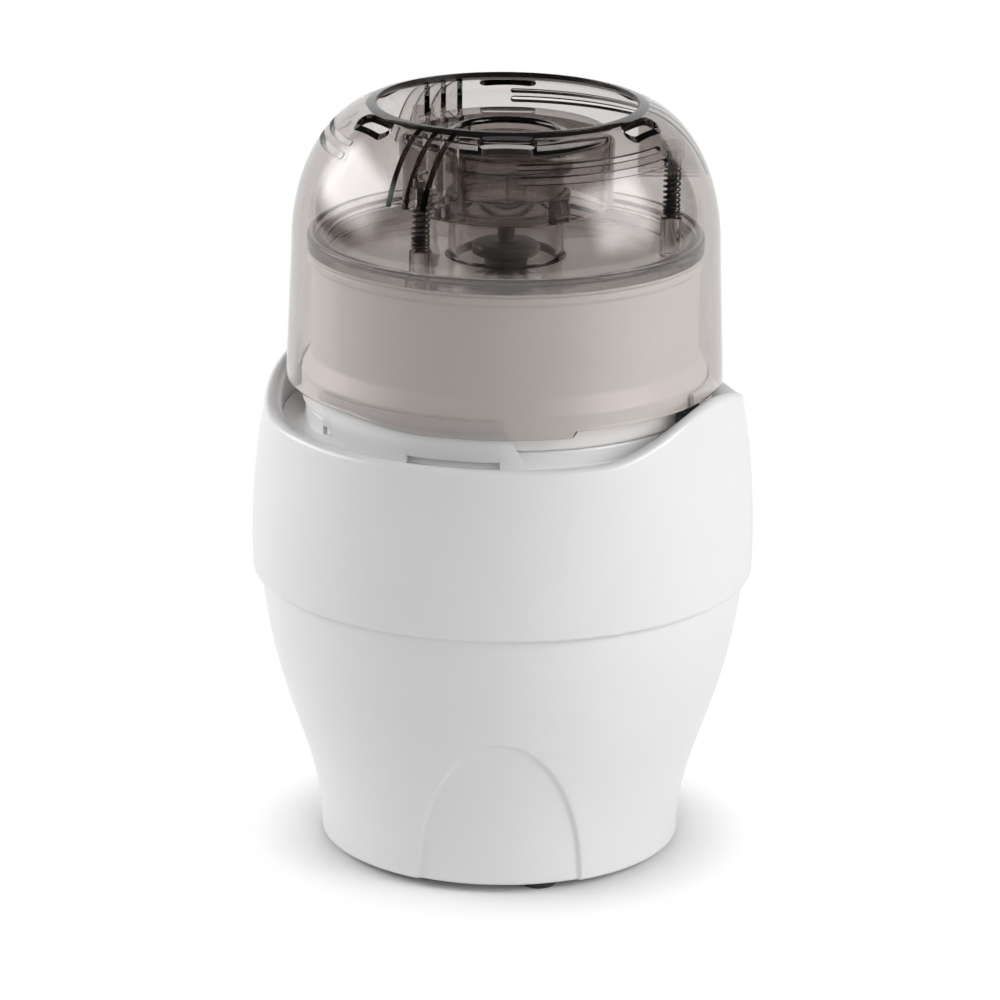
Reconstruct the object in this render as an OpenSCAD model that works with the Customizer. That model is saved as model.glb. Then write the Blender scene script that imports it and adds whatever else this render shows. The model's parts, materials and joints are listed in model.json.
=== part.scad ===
// Press-lid food chopper: a motor base, a bowl with a double blade, an inner lid with a filler
// and a clear dome that is pressed down against three springs to work the switch.
// Millimetres, +Z up, origin on the table under the middle, the front faces -Y.
// Directions round the axis are counted from the front towards the right-hand side.

/* [Motor base] */
// Height of the housing's lower edge above the table
foot_h = 2.5; // [1.5:0.5:4]
// Diameter of the housing at its lower edge
base_d = 108.2; // [104:0.2:112]
// Height of the lower housing
lower_h = 83; // [78:0.5:90]
// Height from the seam up to the floor of the collar's groove
upper_h = 47.5; // [44:0.5:54]
// Thickness of the housing walls
wall = 2.5; // [2:0.1:3]
// How far the barrel swells beyond the collar's rim
barrel_swell = 3.5; // [2:0.1:5]
// How far the upper housing overhangs the lower one at the seam
seam_step = 2.4; // [1.2:0.1:3]
// Depth of the arched recess in the front
arch_depth = 1; // [0.5:0.1:1.2]
// Width of the arched recess at the lower edge
arch_w = 48.2; // [36:0.2:56]
// Height of the arched recess
arch_h = 48.3; // [36:0.1:56]

/* [Collar] */
// Height of the low rim above the groove
rim_h = 3; // [2:0.5:5]
// How far the rim's two wings rise above the low rim
wing_h = 10.8; // [8:0.1:13]
// Direction where a wing starts to rise
wing_from = 22; // [18:1:32]
// Direction where a wing is at full height
wing_full = 62; // [52:1:66]
// Angle over which a wing stays at full height
wing_flat = 0; // [0:1:22]
// Direction where a wing has ended
wing_end = 108; // [100:1:120]
// Width of the rim where it is low
rim_w = 5.3; // [4:0.1:7]
// Gap between the collar and the dome
collar_gap = 1.3; // [0.8:0.1:2]
// Thickness of the guide walls in the groove
guide_t = 1.2; // [0.8:0.1:2]
// Height of the guide walls
guide_h = 15; // [12:0.5:18]
// Height of the bowl's seat above the groove
seat_h = 5.5; // [4:0.5:7]

/* [Bowl and blade] */
// Outer diameter of the bowl's wall
bowl_d = 115; // [108:1:122]
// Height of the bowl
bowl_h = 45.2; // [42:0.2:52]
// Thickness of the bowl's wall and floor
bowl_wall = 2.2; // [1.6:0.1:3]
// How far the bowl's foot flares out beyond its wall
bowl_flare = 2.7; // [2:0.1:3.5]
// Height of the straight part of the bowl's foot
bowl_foot_h = 10.4; // [8:0.2:13]
// Height of the tube in the middle of the bowl
bowl_tube_h = 21.5; // [18:0.5:24]
// Diameter across the blade tips
blade_d = 104; // [90:1:107]
// Thickness of the blades
blade_t = 1.4; // [1:0.1:2]
// Distance between the two blades
blade_gap = 10.2; // [8:0.2:11]

/* [Lid and dome] */
// Height of the inner lid's rim
lid_rim_h = 4.4; // [3:0.2:6]
// Thickness of the inner lid and the filler
lid_t = 2; // [1.6:0.1:2.6]
// Outer diameter of the filler's cap
knob_d = 63; // [56:1:68]
// Height of the filler's cap
knob_h = 22; // [18:0.5:24]
// Diameter of the filler's hole
filler_d = 29.2; // [24:0.2:32]
// Thickness of the dome's wall
dome_wall = 2.3; // [1.8:0.1:3]
// Height of the dome
dome_h = 84.7; // [82:0.1:90]
// Height of the dome's lower edge above the groove
dome_lift = 10.3; // [9:0.1:12]
// Height of the dome's rounded shoulder
shoulder_h = 42; // [38:1:46]
// How far the dome tapers inwards below its shoulder
dome_taper = 1.6; // [0.8:0.1:2]
// Diameter of the opening in the dome's crown
mouth_d = 77; // [70:1:82]
// How far the dome can be pressed down
press_travel = 5; // [3:0.5:6]

/* [Springs] */
// Distance of the dome's springs from the axis
spring_r = 48.6; // [46:0.2:50]
// Outer diameter of a dome spring
spring_d = 5.4; // [4.8:0.1:5.8]
// Wire of a dome spring
spring_wire = 0.65; // [0.5:0.05:0.7]
// Turns of a dome spring
spring_turns = 13; // [8:1:13]

/* [Motor] */
// Diameter of the motor shaft
shaft_d = 8; // [6:0.5:9]
// Diameter of the stator
stator_d = 66; // [60:1:70]
// Height of the stator and the armature
stack_h = 36; // [30:1:40]
// Diameter of the armature
armature_d = 35; // [30:0.5:36]
// Diameter of the cooling fan
fan_d = 72; // [60:1:76]

/* [Fits] */
// Clearance between pieces that seat in or on each other
seat_gap = 0.2; // [0.1:0.05:0.3]
// Clearance between pieces that slide past each other
slide_gap = 0.4; // [0.3:0.05:0.6]
// Clearance between the dome's lower edge and the guide walls
dome_gap = 0.8; // [0.7:0.1:1.2]
// Clearance of the shaft in its bearings
run_gap = 0.05; // [0.02:0.01:0.1]

/* [Hidden] */
$fn = 96;
// Length that lets a cut run clear of a face
over = 1;
// Depth that joins two shapes of one piece
sink = 0.5;
// Clearance of a piece that is pressed or screwed on
press_gap = 0.05;

// Radii, from the bowl outwards
bowl_r = bowl_d / 2;
bowl_in_r = bowl_r - bowl_wall;
bowl_foot_r = bowl_r + bowl_flare;
guide_in_r = bowl_foot_r + slide_gap;
guide_out_r = guide_in_r + guide_t;
dome_in_r = guide_out_r + dome_gap;
dome_r = dome_in_r + dome_wall;
collar_r = dome_r + collar_gap;
rim_r = collar_r + rim_w;
barrel_r = rim_r + barrel_swell;
base_r = base_d / 2;

// Heights, from the table upwards
z_base = foot_h;
z_seam = z_base + lower_h;
z_groove = z_seam + upper_h;
z_rim = z_groove + rim_h;
z_seat = z_groove + seat_h;
z_bowl = z_seat + seat_gap;
z_bowl_floor = z_bowl + bowl_wall;
z_bowl_rim = z_bowl + bowl_h;
gasket_t = 0.8;
z_lid = z_bowl_rim + gasket_t + seat_gap;
z_lid_rim = z_lid + lid_rim_h;
// The inner lid's plate is sunk below its rim
lid_sink = 3.1;
z_plate = z_lid - lid_sink;
z_dome = z_groove + dome_lift;
z_dome_top = z_dome + dome_h;
z_shoulder = z_dome_top - shoulder_h;

// Barrel of the upper housing: an arc that is widest a little above the seam
barrel_widest = 10;
z_widest = z_seam + barrel_widest;
barrel_arc = (pow(z_rim - z_widest, 2) + pow(barrel_swell, 2)) / (2 * barrel_swell);
seam_r = barrel_at(z_seam) - seam_step;
function barrel_at(z) = barrel_r - barrel_arc + sqrt(pow(barrel_arc, 2) - pow(z - z_widest, 2));

// Flare of the lower housing: a curve that leaves the table upright and ends almost upright
flare_low = 29.5;
flare_high = 42.9;
flare_lean = 4.2;
flare_steps = 24;
function bezier(p, t) = pow(1 - t, 3) * p[0] + 3 * t * pow(1 - t, 2) * p[1]
    + 3 * t * t * (1 - t) * p[2] + pow(t, 3) * p[3];
function flare_points(inset) = [for (i = [0:flare_steps]) bezier([
    [base_r - inset, z_base], [base_r - inset, z_base + flare_low],
    [seam_r - flare_lean - inset, z_seam - flare_high], [seam_r - inset, z_seam]
], i / flare_steps)];
// Inner end of the spigot that locates the upper housing on the lower one
spigot_r = seam_r - wall - seat_gap;
spigot_t = 2;
spigot_h = 4;

// Collar rim: two wings that rise and fall smoothly, half a turn apart
wing_fade = wing_full + wing_flat;
function ease(t) = t * t * (3 - 2 * t);
function wing(a) = let (p = ((a % 180) + 180) % 180)
    p < wing_from || p > wing_end ? 0
    : p < wing_full ? ease((p - wing_from) / (wing_full - wing_from))
    : p < wing_fade ? 1
    : 1 - ease((p - wing_fade) / (wing_end - wing_fade));
function rim_z(a) = z_rim + wing_h * wing(a);
rim_round = 2;
rim_fall = 2;
function rim_ridge(zt) = barrel_at(zt - rim_round) - rim_round - seat_gap;
seam_round = 1.6;
collar_steps = 96;
collar_rows = 5;
// Height of the collar's underside, which rests on the deck's flange
deck_t = 2.5;
z_ledge = z_groove - deck_t + seat_gap;
ledge_w = 2.2;
ledge_drop = 4;

// Features that stand three times round the axis
thirds = [0, 120, 240];
quarters = [0, 90, 180, 270];
spring_a = -30;
guide_from = -59;
guide_to = 7;
guide_lean = 29;
guide_cut = 12;
guide_spare = 3;
guide_pocket = [-27, -1];
guide_notch = [-58.5, -54.5];
pocket_z = [-over, 2.9];
notch_z = [2.2, 4.7];
slider_a = 57.5;
slider_half = 5;

// Motor stack, hung from the deck
deck_boss_r = 4.5;
boss_a = 15;
boss_r = 50;
z_boss = z_seam + 6;
boss_len = 30;
arm_a = 30;
arm_r = 42;
ear_r = 6;
damper_h = 5;
z_upper = z_seat - deck_t - 20;
bracket_t = 4;
bracket_r = stator_d / 2 + 1;
pillar_up = 12;
pillar_down = 24;
pillar_r = 5;
air_hole_r = 4;
z_stack = z_upper - bracket_t - pillar_up - stack_h;
z_lower = z_stack - pillar_down;
bearing_r = shaft_d / 2 + 4;
bearing_h = 9;
bearing_boss_r = bearing_r + 4;
bolt_r = 1.95;
bolt_at = 26;
bolt_head_r = 3.6;
shaft_r = shaft_d / 2;
z_shaft = z_lower - bracket_t - 20;
fan_h = 11;
z_fan = z_shaft + 2;
commutator_r = shaft_r + 7.5;
commutator_h = 11.5;
winding_h = 8;
z_commutator = z_stack - winding_h - commutator_h;
pole_gap = 0.6;
window_r = [armature_d / 2 + 2, stator_d / 2 - 3.5];
coil_half = 50;
coil_margin = 2;
coil_over = 6;
brush_w = 6;
brush_h = 7.5;
brush_gap = 0.3;
brush_len = 13;
holder_wall = 3;
screw_r = 1.6;
screw_head_r = 3.2;
screw_head_h = 2.4;

// Drive and blade
tube_r = [shaft_r + 3.6, shaft_r + 5.5];
z_tube = z_bowl + bowl_tube_h;
coupling_r = shaft_r + 2.9;
coupling_h = 9.5;
z_coupling = z_tube + seat_gap;
hub_in_r = tube_r[1] + slide_gap;
hub_r = hub_in_r + 3;
z_hub = z_bowl_floor + 1;
z_hub_shoulder = z_tube + slide_gap;
z_hub_top = z_coupling + coupling_h + 3.2;
hub_flange_h = 2.5;
hub_flange_w = 3;
blade_ring_w = 4;
z_blade = z_hub + hub_flange_h + press_gap;
blade_steps = 14;
blade_sweep = 32;
blade_turn = 20;
blade_root_w = 8.5;
blade_tip_w = 2.5;
hub_disc_rise = 0.9;
z_hub_disc = z_plate + hub_disc_rise;
hub_disc_r = 10;
hub_disc_h = 3;
hub_post_r = 2.6;
hub_post_h = 5;

// Inner lid and filler
lid_over = 1.2;
lid_r = bowl_r + lid_over;
plug_r = bowl_in_r - slide_gap;
neck_r = [filler_d / 2 + 2 * seat_gap, filler_d / 2 + 2 * seat_gap + lid_t];
cup_t = 1.7;
cup_r = neck_r[1] + cup_t;
neck_h = 13.3;
cup_h = 7;
z_neck = z_plate + neck_h;
lug_a = 50;
lug_w = 6.5;
lug_len = 2.6;
post_h = 11.8;
post_r = 3.2;
z_post = z_plate + post_h;
knob_lift = 2.5;
z_knob = z_neck + knob_lift;
knob_r = knob_d / 2;
knob_round = 3.5;
knob_tube_r = neck_r[1] - seat_gap;

// Dome
mouth_r = mouth_d / 2;
crown_r = mouth_r - 2.5;
shoulder_w = dome_r - dome_taper - crown_r;
shoulder_steps = 20;
lip_round = 1.5;
// Tabs of the dome's lower edge: their height, where the gap after a tab starts and stops, and its slopes
tab_h = 1.9;
tab_ends = [18, 96];
tab_slopes = [1, 21];
tab_deep = 44;
fin_a = spring_a;
fin_t = 1.8;
fin_pitch = 5.6;
fin_drop = 20.9;
z_fin = z_dome_top - fin_drop;
pin_r = 1.5;
pocket_r = spring_d / 2 + slide_gap;
spring_boss_h = 5;
pocket_gap = 0.3;
pin_seat = 2.2;
pin_dip = 0.8;
fin_cover = 4.5;
z_spring_top = z_fin + fin_cover;
oval_r = mouth_r + 5.5;
oval_len = 17;
oval_w = 5;
oval_cut = 12;
long_slot_a = 31;
long_slot_half = 28;
long_slot_r = [mouth_r + 13, mouth_r + 15.8];
long_slot_w = [1.9, 2.4];
// Height of the crown's outer face at a radius
function crown_z(r) = z_shoulder + shoulder_h * sqrt(1 - pow((r - crown_r) / shoulder_w, 2));
// Slope of the crown's outer face at a radius, as an angle below level
function crown_slope(r) = let (s = (r - crown_r) / shoulder_w)
    atan(shoulder_h / shoulder_w * s / sqrt(1 - s * s));

// Placing and simple shapes
module at(a, r, z = 0) {
    rotate([0, 0, a - 90]) translate([r, 0, z]) children();
}
module ring(r0, r1, z0, z1) {
    translate([0, 0, z0]) difference() {
        cylinder(r = r1, h = z1 - z0);
        translate([0, 0, -over]) cylinder(r = r0, h = z1 - z0 + 2 * over);
    }
}
module rod(r, z0, z1) {
    translate([0, 0, z0]) cylinder(r = r, h = z1 - z0);
}
module band(r0, r1, z0, z1, a0, a1) {
    rotate([0, 0, a0 - 90]) rotate_extrude(angle = a1 - a0)
        translate([r0, z0]) square([r1 - r0, z1 - z0]);
}
// Bar from one radius to another, along the direction that at() gives
module bar(r0, r1, w, z0, z1) {
    translate([r0, -w / 2, z0]) cube([r1 - r0, w, z1 - z0]);
}
// Screw along +Z with its head below the origin
module screw(r, head_r, head_h, len) {
    translate([0, 0, -head_h]) difference() {
        cylinder(r = head_r, h = head_h);
        translate([0, 0, -over]) cylinder(r = r, h = over + head_h / 2, $fn = 6);
    }
    cylinder(r = r, h = len);
}

// Tube along a line of points: a ring of corners at each point, square to the way it runs
wire_sides = 6;
curl_rings = 8;
function unit(v) = v / norm(v);
function way(p, i) = unit(p[min(i + 1, len(p) - 1)] - p[max(i - 1, 0)]);
function tube_corners(p, r, out) = [for (i = [0:len(p) - 1]) let (
    t = way(p, i),
    u = unit(out[i] - (out[i] * t) * t),
    v = cross(t, u)
) for (k = [0:wire_sides - 1]) p[i] + r * (cos(360 * k / wire_sides) * u + sin(360 * k / wire_sides) * v)];
function tube_faces(n) = concat(
    [for (k = [1:wire_sides - 2]) [0, k, k + 1]],
    [for (i = [0:n - 2], k = [0:wire_sides - 1]) let (
        a = i * wire_sides + k, b = i * wire_sides + (k + 1) % wire_sides
    ) each [[a, a + wire_sides, b], [b, a + wire_sides, b + wire_sides]]],
    [for (k = [1:wire_sides - 2]) let (e = (n - 1) * wire_sides) [e, e + k + 1, e + k]]
);
// A compression spring: its ends stand upright for one wire diameter on what they meet
function spring_turn(i) = 360 * i / curl_rings;
function spring_points(r, wire, turns, z0, z1) = let (n = turns * curl_rings) concat(
    [[r, 0, z0]],
    [for (i = [0:n]) let (a = spring_turn(i))
        [r * cos(a), r * sin(a), z0 + wire + (z1 - z0 - 2 * wire) * i / n]],
    [[r, 0, z1]]
);
function spring_outs(turns) = let (n = turns * curl_rings) concat(
    [[1, 0, 0]],
    [for (i = [0:n]) let (a = spring_turn(i)) [cos(a), sin(a), 0]],
    [[1, 0, 0]]
);
function spring_gap(p, wire) = min([for (i = [0:len(p) - 1], j = [i + curl_rings - 2:1:len(p) - 1])
    norm(p[i] - p[j])]) - wire;
module coil_spring(d, wire, turns, z0, z1) {
    r = (d - wire) / 2;
    path = spring_points(r, wire, turns, z0, z1);
    echo(spring_gap = spring_gap(path, wire));
    polyhedron(tube_corners(path, wire / 2, spring_outs(turns)), tube_faces(len(path)));
}

// Motor base, outer pieces
module arch_prism() {
    rotate([90, 0, 0]) linear_extrude(barrel_r) translate([0, z_base]) polygon(concat(
        [[arch_w / 2, -over], [-arch_w / 2, -over]],
        [for (a = [180:-6:0]) [arch_w / 2 * cos(a), arch_h * sin(a)]]
    ));
}
plate_r = base_r - wall - slide_gap;
plate_t = 2.5;
z_plate_low = z_base + 1.5;
z_plate_top = z_plate_low + plate_t;
plate_boss_r = 44;
plate_boss_a = 60;
plate_boss_len = 16;
plate_post_r = 4;
web_t = 3;
blind = 2;
gland_z = z_base + 19.5;
gland_r = 5;
gland_lip = 2;
gland_wall = 1.8;
gland_y = [base_r - 5.5, base_r + 5];
module to_back() {
    translate([0, 0, gland_z]) rotate([-90, 0, 0]) children();
}
// Inside of a surface that lies a distance under the lower housing's outer face
module housing_fill(inset) {
    rotate_extrude() polygon(concat([[0, z_base - 2 * over], [base_r - inset, z_base - 2 * over]],
        flare_points(inset), [[0, z_seam]]));
}
module lower_housing() color("white") {
    difference() {
        union() {
            rotate_extrude() polygon(concat(flare_points(0),
                [for (i = [flare_steps:-1:0]) flare_points(wall)[i]]));
            // Spigot for the upper housing
            ring(spigot_r - spigot_t, spigot_r, z_seam - 2 * spigot_h, z_seam + spigot_h);
            ring(spigot_r - spigot_t, seam_r - wall / 2, z_seam - 2 * spigot_h, z_seam - spigot_h);
            // Bosses for the screws of the base plate
            for (q = quarters) at(plate_boss_a + q, plate_boss_r) {
                rod(plate_post_r, z_plate_top + seat_gap, z_plate_top + plate_boss_len);
                bar(0, base_r - plate_boss_r - wall / 2, web_t, z_plate_top + blind,
                    z_plate_top + plate_boss_len);
            }
            // Bosses for the screws that pull the deck down
            for (q = quarters) at(boss_a + q, boss_r) {
                rod(deck_boss_r, z_boss - boss_len, z_boss);
                bar(0, spigot_r - boss_r - spigot_t / 2, web_t, z_seam - 2 * spigot_h, z_seam);
            }
        }
        difference() {
            arch_prism();
            housing_fill(arch_depth);
        }
        for (q = quarters) {
            at(plate_boss_a + q, plate_boss_r)
                rod(screw_r + seat_gap / 2, 0, z_plate_top + plate_boss_len - blind);
            at(boss_a + q, boss_r) rod(screw_r + seat_gap, z_boss - boss_len - over, z_boss + over);
        }
        to_back() rod(gland_r, 0, barrel_r);
    }
}
function collar_section(zt) = concat(
    [[spigot_r + seat_gap, z_seam]],
    [for (a = [0:30:90]) [barrel_at(z_seam + seam_round) - seam_round * (1 - sin(a)),
        z_seam + seam_round * (1 - cos(a))]],
    [for (i = [1:collar_rows]) let (
        z0 = z_seam + seam_round,
        z = z0 + (zt - rim_round - z0) * i / collar_rows
    ) [barrel_at(z), z]],
    [for (a = [30:30:90]) [barrel_at(zt - rim_round) - rim_round * (1 - cos(a)),
        zt - rim_round * (1 - sin(a))]],
    [for (a = [0:30:90]) [collar_r + (rim_ridge(zt) - collar_r) * (1 - sin(a)), zt - rim_fall * (1 - cos(a))]],
    [[collar_r, z_ledge], [collar_r + ledge_w, z_ledge]],
    [for (i = [0:2]) let (z = z_ledge - ledge_drop - (z_ledge - ledge_drop - z_seam - wall) * i / 2)
        [barrel_at(z) - wall, z]],
    [[spigot_r + seat_gap, z_seam + wall]]
);
module upper_housing() color("white") {
    sections = [for (s = [0:collar_steps - 1]) let (a = 360 * s / collar_steps)
        [for (p = collar_section(rim_z(a))) [p[0] * sin(a), -p[0] * cos(a), p[1]]]];
    n = len(sections[0]);
    polyhedron([for (s = sections) each s], [
        for (s = [0:collar_steps - 1], i = [0:n - 1]) let (
            t = (s + 1) % collar_steps, j = (i + 1) % n,
            a = s * n + i, b = s * n + j, c = t * n + j, d = t * n + i
        ) each [[a, b, c], [a, c, d]]
    ], convexity = 6);
}
flange_r = collar_r + ledge_w - seat_gap;
turret_r = bowl_foot_r - 1;
seal_r = shaft_r + 5;
seal_h = 5.5;
seal_wall = 3;
seal_skirt = 1.5;
shell_bite = 16;
damper_bite = 10;
slot_margin = 0.5;
z_damper = z_upper + damper_h + 2 * seat_gap;
module deck() color("white") {
    difference() {
        union() {
            rotate_extrude() polygon([
                [seal_r, z_seat], [turret_r, z_seat], [turret_r, z_groove], [collar_r - seat_gap, z_groove],
                [collar_r - seat_gap, z_groove - deck_t], [flange_r, z_groove - deck_t],
                [flange_r, z_groove - 2 * deck_t], [turret_r - deck_t, z_groove - 2 * deck_t],
                [turret_r - deck_t, z_seat - deck_t], [seal_r + seal_wall, z_seat - deck_t],
                [seal_r + seal_wall, z_seat - seal_h - seal_skirt], [seal_r, z_seat - seal_h - seal_skirt]
            ]);
            for (t = thirds) difference() {
                band(guide_in_r, guide_out_r, z_groove - sink, z_groove + guide_h,
                    guide_from + t, guide_to + guide_spare + t);
                // The right-hand end leans back
                at(guide_to + t, guide_in_r - over, z_groove) rotate([guide_lean, 0, 0])
                    translate([0, 0, -guide_cut]) cube([guide_t + 2 * over, guide_cut, guide_h + 2 * guide_cut]);
                for (w = [[guide_pocket, pocket_z], [guide_notch, notch_z]])
                    band(guide_in_r - over, guide_out_r + over, z_groove + w[1][0], z_groove + w[1][1],
                        w[0][0] + t, w[0][1] + t);
            }
            for (q = quarters) at(boss_a + q, boss_r)
                rod(deck_boss_r, z_boss + seat_gap, z_seat - deck_t / 2);
            for (t = thirds) at(arm_a + t, arm_r) rod(deck_boss_r, z_damper, z_seat - deck_t / 2);
        }
        for (q = quarters) at(boss_a + q, boss_r)
            rod(screw_r + seat_gap / 2, z_boss - over, z_boss + shell_bite);
        for (t = thirds) at(arm_a + t, arm_r)
            rod(screw_r + seat_gap / 2, z_damper - over, z_damper + damper_bite);
        band(slider_r[0] - slide_gap, collar_r - seat_gap - slide_gap, z_groove - 3 * deck_t, z_groove + over,
            slider_a - slider_half - slot_margin, slider_a + slider_half + slot_margin);
    }
}
vent_count = 24;
vent_r = [18, 34];
vent_w = 2.4;
head_sink = 1;
module base_plate() color("gainsboro") {
    difference() {
        rod(plate_r, z_plate_low, z_plate_top);
        for (q = quarters) {
            at(plate_boss_a + q, plate_boss_r) {
                rod(screw_r + seat_gap, 0, z_plate_top + over);
                rod(screw_head_r + seat_gap, 0, z_plate_low + head_sink);
            }
            at(boss_a + q, foot_at) rod(foot_stem_r + seat_gap / 2, 0, z_plate_top + over);
        }
        for (i = [0:vent_count - 1]) at(360 * i / vent_count, 0)
            bar(vent_r[0], vent_r[1], vent_w, 0, z_plate_top + over);
    }
}
foot_r = 5.5;
foot_at = plate_r - foot_r - seat_gap;
foot_stem_r = 2.4;
foot_round = 1;
foot_barb_w = 0.6;
foot_barb_h = 1.6;
module feet() color("dimgray") {
    for (q = quarters) at(boss_a + q, foot_at) {
        cylinder(r1 = foot_r - foot_round, r2 = foot_r, h = foot_round);
        rod(foot_r, foot_round, z_plate_low);
        rod(foot_stem_r, z_plate_low - sink, z_plate_top + sink);
        rod(foot_stem_r + foot_barb_w, z_plate_top + seat_gap, z_plate_top + foot_barb_h);
    }
}
plate_head_h = 1.5;
module plate_screws() color("silver") {
    for (q = quarters) at(plate_boss_a + q, plate_boss_r, z_plate_low + head_sink)
        screw(screw_r, screw_head_r, plate_head_h, plate_t - head_sink + plate_boss_len - 2 * blind);
}
module shell_screws() color("silver") {
    for (q = quarters) at(boss_a + q, boss_r, z_boss - boss_len)
        screw(screw_r, screw_head_r, screw_head_h, boss_len + shell_bite - blind);
}
module cord_gland() color("dimgray") {
    difference() {
        union() {
            to_back() rod(gland_r - seat_gap / 2, gland_y[0], gland_y[1]);
            difference() {
                to_back() rod(gland_r + gland_lip, base_r - wall, gland_y[1]);
                housing_fill(-seat_gap);
            }
            intersection() {
                to_back() rod(gland_r + gland_lip, gland_y[0], barrel_r);
                housing_fill(wall + seat_gap);
            }
        }
        to_back() rod(gland_r - gland_wall, gland_y[0] - over, gland_y[1] + over);
    }
}

// Motor, fixed pieces
module stator_core() color("slategray") {
    difference() {
        rod(stator_d / 2, z_stack, z_stack + stack_h);
        rod(armature_d / 2 + pole_gap, z_stack - over, z_stack + stack_h + over);
        for (a = [0, 180])
            band(window_r[0], window_r[1], z_stack - over, z_stack + stack_h + over,
                a - coil_half - coil_margin, a + coil_half + coil_margin);
        for (a = [90, 270]) at(a, bolt_at) rod(bolt_r + seat_gap, z_stack - over, z_stack + stack_h + over);
    }
}
module field_coils() color("chocolate") {
    for (a = [0, 180])
        band(window_r[0] + seat_gap, window_r[1] - seat_gap, z_stack - coil_over,
            z_stack + stack_h + coil_over, a - coil_half, a + coil_half);
}
module bracket_body(z, boss_z, pillar_z0, pillar_z1) {
    difference() {
        union() {
            rod(bracket_r, z, z + bracket_t);
            rod(bearing_boss_r, boss_z, boss_z + bearing_h + 1);
            for (a = [90, 270]) at(a, bolt_at) rod(pillar_r, pillar_z0, pillar_z1);
            children();
        }
        rod(bearing_r + seat_gap / 4, boss_z - over, boss_z + bearing_h + 2 * over);
        for (a = [90, 270]) at(a, bolt_at)
            rod(bolt_r + seat_gap / 2, min(z, pillar_z0) - over, max(z + bracket_t, pillar_z1) + over);
        for (q = quarters) at(q + 45, bolt_at - 1) rod(air_hole_r, z - over, z + bracket_t + over);
    }
}
bearing_drop = [3, 1.5];
lower_boss_z = z_lower - bracket_t - bearing_drop[0];
upper_boss_z = z_upper - bracket_t - bearing_drop[1];
module lower_bracket() color("silver") {
    bracket_body(z_lower - bracket_t, lower_boss_z, z_lower - bracket_t, z_stack - seat_gap / 2);
}
module upper_bracket() color("silver") {
    difference() {
        bracket_body(z_upper - bracket_t, upper_boss_z, z_stack + stack_h + seat_gap / 2, z_upper) {
            for (t = thirds) at(arm_a + t, 0) {
                bar(bracket_r - bracket_t, arm_r, 2 * ear_r, z_upper - bracket_t, z_upper);
                translate([arm_r, 0, 0]) rod(ear_r, z_upper - bracket_t, z_upper);
            }
        }
        for (t = thirds) at(arm_a + t, arm_r)
            rod(screw_r + seat_gap, z_upper - 2 * bracket_t, z_upper + over);
    }
}
module bearing(z) {
    ring(shaft_r + run_gap, bearing_r, z, z + bearing_h);
}
module lower_bearing() color("goldenrod") bearing(lower_boss_z + sink);
module upper_bearing() color("goldenrod") bearing(upper_boss_z + sink);
module motor_bolts() color("silver") {
    for (a = [90, 270]) at(a, bolt_at, z_lower - bracket_t) 
        screw(bolt_r, bolt_head_r, screw_head_h, z_upper - z_lower + bracket_t);
}
module motor_dampers() color("dimgray") {
    for (t = thirds) at(arm_a + t, arm_r)
        ring(screw_r + seat_gap, ear_r - sink, z_upper + seat_gap, z_upper + seat_gap + damper_h);
}
module damper_screws() color("silver") {
    for (t = thirds) at(arm_a + t, arm_r, z_upper - bracket_t)
        screw(screw_r, screw_head_r, screw_head_h, bracket_t + damper_h + damper_bite - blind);
}
brush_in = commutator_r + brush_gap;
z_brush = z_commutator + (commutator_h - brush_h) / 2;
module brush_holders() color("saddlebrown") {
    for (a = [0, 180]) at(a, 0) difference() {
        bar(brush_in + holder_wall / 2, brush_in + brush_len + holder_wall, brush_w + 2 * holder_wall,
            z_lower + seat_gap / 2, z_brush + brush_h + holder_wall);
        bar(brush_in, brush_in + brush_len + 2 * holder_wall, brush_w + 2 * seat_gap,
            z_brush - seat_gap, z_brush + brush_h + seat_gap);
    }
}
module carbon_brushes() color("black") {
    for (a = [0, 180]) at(a, 0) bar(brush_in, brush_in + brush_len, brush_w, z_brush, z_brush + brush_h);
}
module shaft_seal() color("dimgray") {
    ring(shaft_r + 2 * run_gap, seal_r - seat_gap / 4, z_seat - seal_h, z_seat - sink);
}

// Switch
switch_w = 11;
switch_h = 12;
switch_hang = 18;
sheet_t = 2;
switch_screw_z = [3, 9];
switch_screw_r = 1;
z_deck_low = z_groove - 2 * deck_t;
z_switch = z_deck_low - switch_hang;
slider_r = [guide_out_r + 2 * slide_gap, collar_r - seat_gap - 2 * slide_gap];
slider_mid = (slider_r[0] + slider_r[1]) / 2;
slider_rise = 8;
z_slider = z_switch + slider_rise;
z_slider_top = z_dome + tab_h - 1.5 * seat_gap;
stem_r = 1.5;
// Inner face of the upright leg of the switch's bracket
switch_in = turret_r - 6;
module switch_holes() {
    for (z = switch_screw_z) translate([0, 0, z_switch - z]) rotate([0, 90, 0])
        cylinder(r = switch_screw_r + seat_gap / 2, h = turret_r - over);
}
module switch_bracket() color("silver") {
    at(slider_a, 0) difference() {
        union() {
            bar(switch_in, switch_in + sheet_t, switch_w + 2 * sheet_t, z_switch - switch_h - over,
                z_deck_low - seat_gap);
            bar(switch_in, turret_r + over, switch_w + 2 * sheet_t, z_deck_low - sheet_t,
                z_deck_low - seat_gap);
        }
        switch_holes();
    }
}
module switch_body() color("black") {
    at(slider_a, 0) difference() {
        bar(switch_in + sheet_t + seat_gap, slider_mid + switch_w / 3, switch_w,
            z_switch - switch_h, z_switch);
        translate([slider_mid, 0, 0])
            rod(stem_r + slide_gap, z_switch - press_travel - blind, z_switch + over);
        switch_holes();
    }
}
module switch_screws() color("silver") {
    for (z = switch_screw_z) at(slider_a, switch_in, z_switch - z) rotate([0, 90, 0])
        screw(switch_screw_r, 2 * switch_screw_r, sheet_t / 2, 2 * sheet_t);
}
slider_spring_d = 5.6;
slider_spring_wire = 0.5;
slider_spring_turns = 5;
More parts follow.
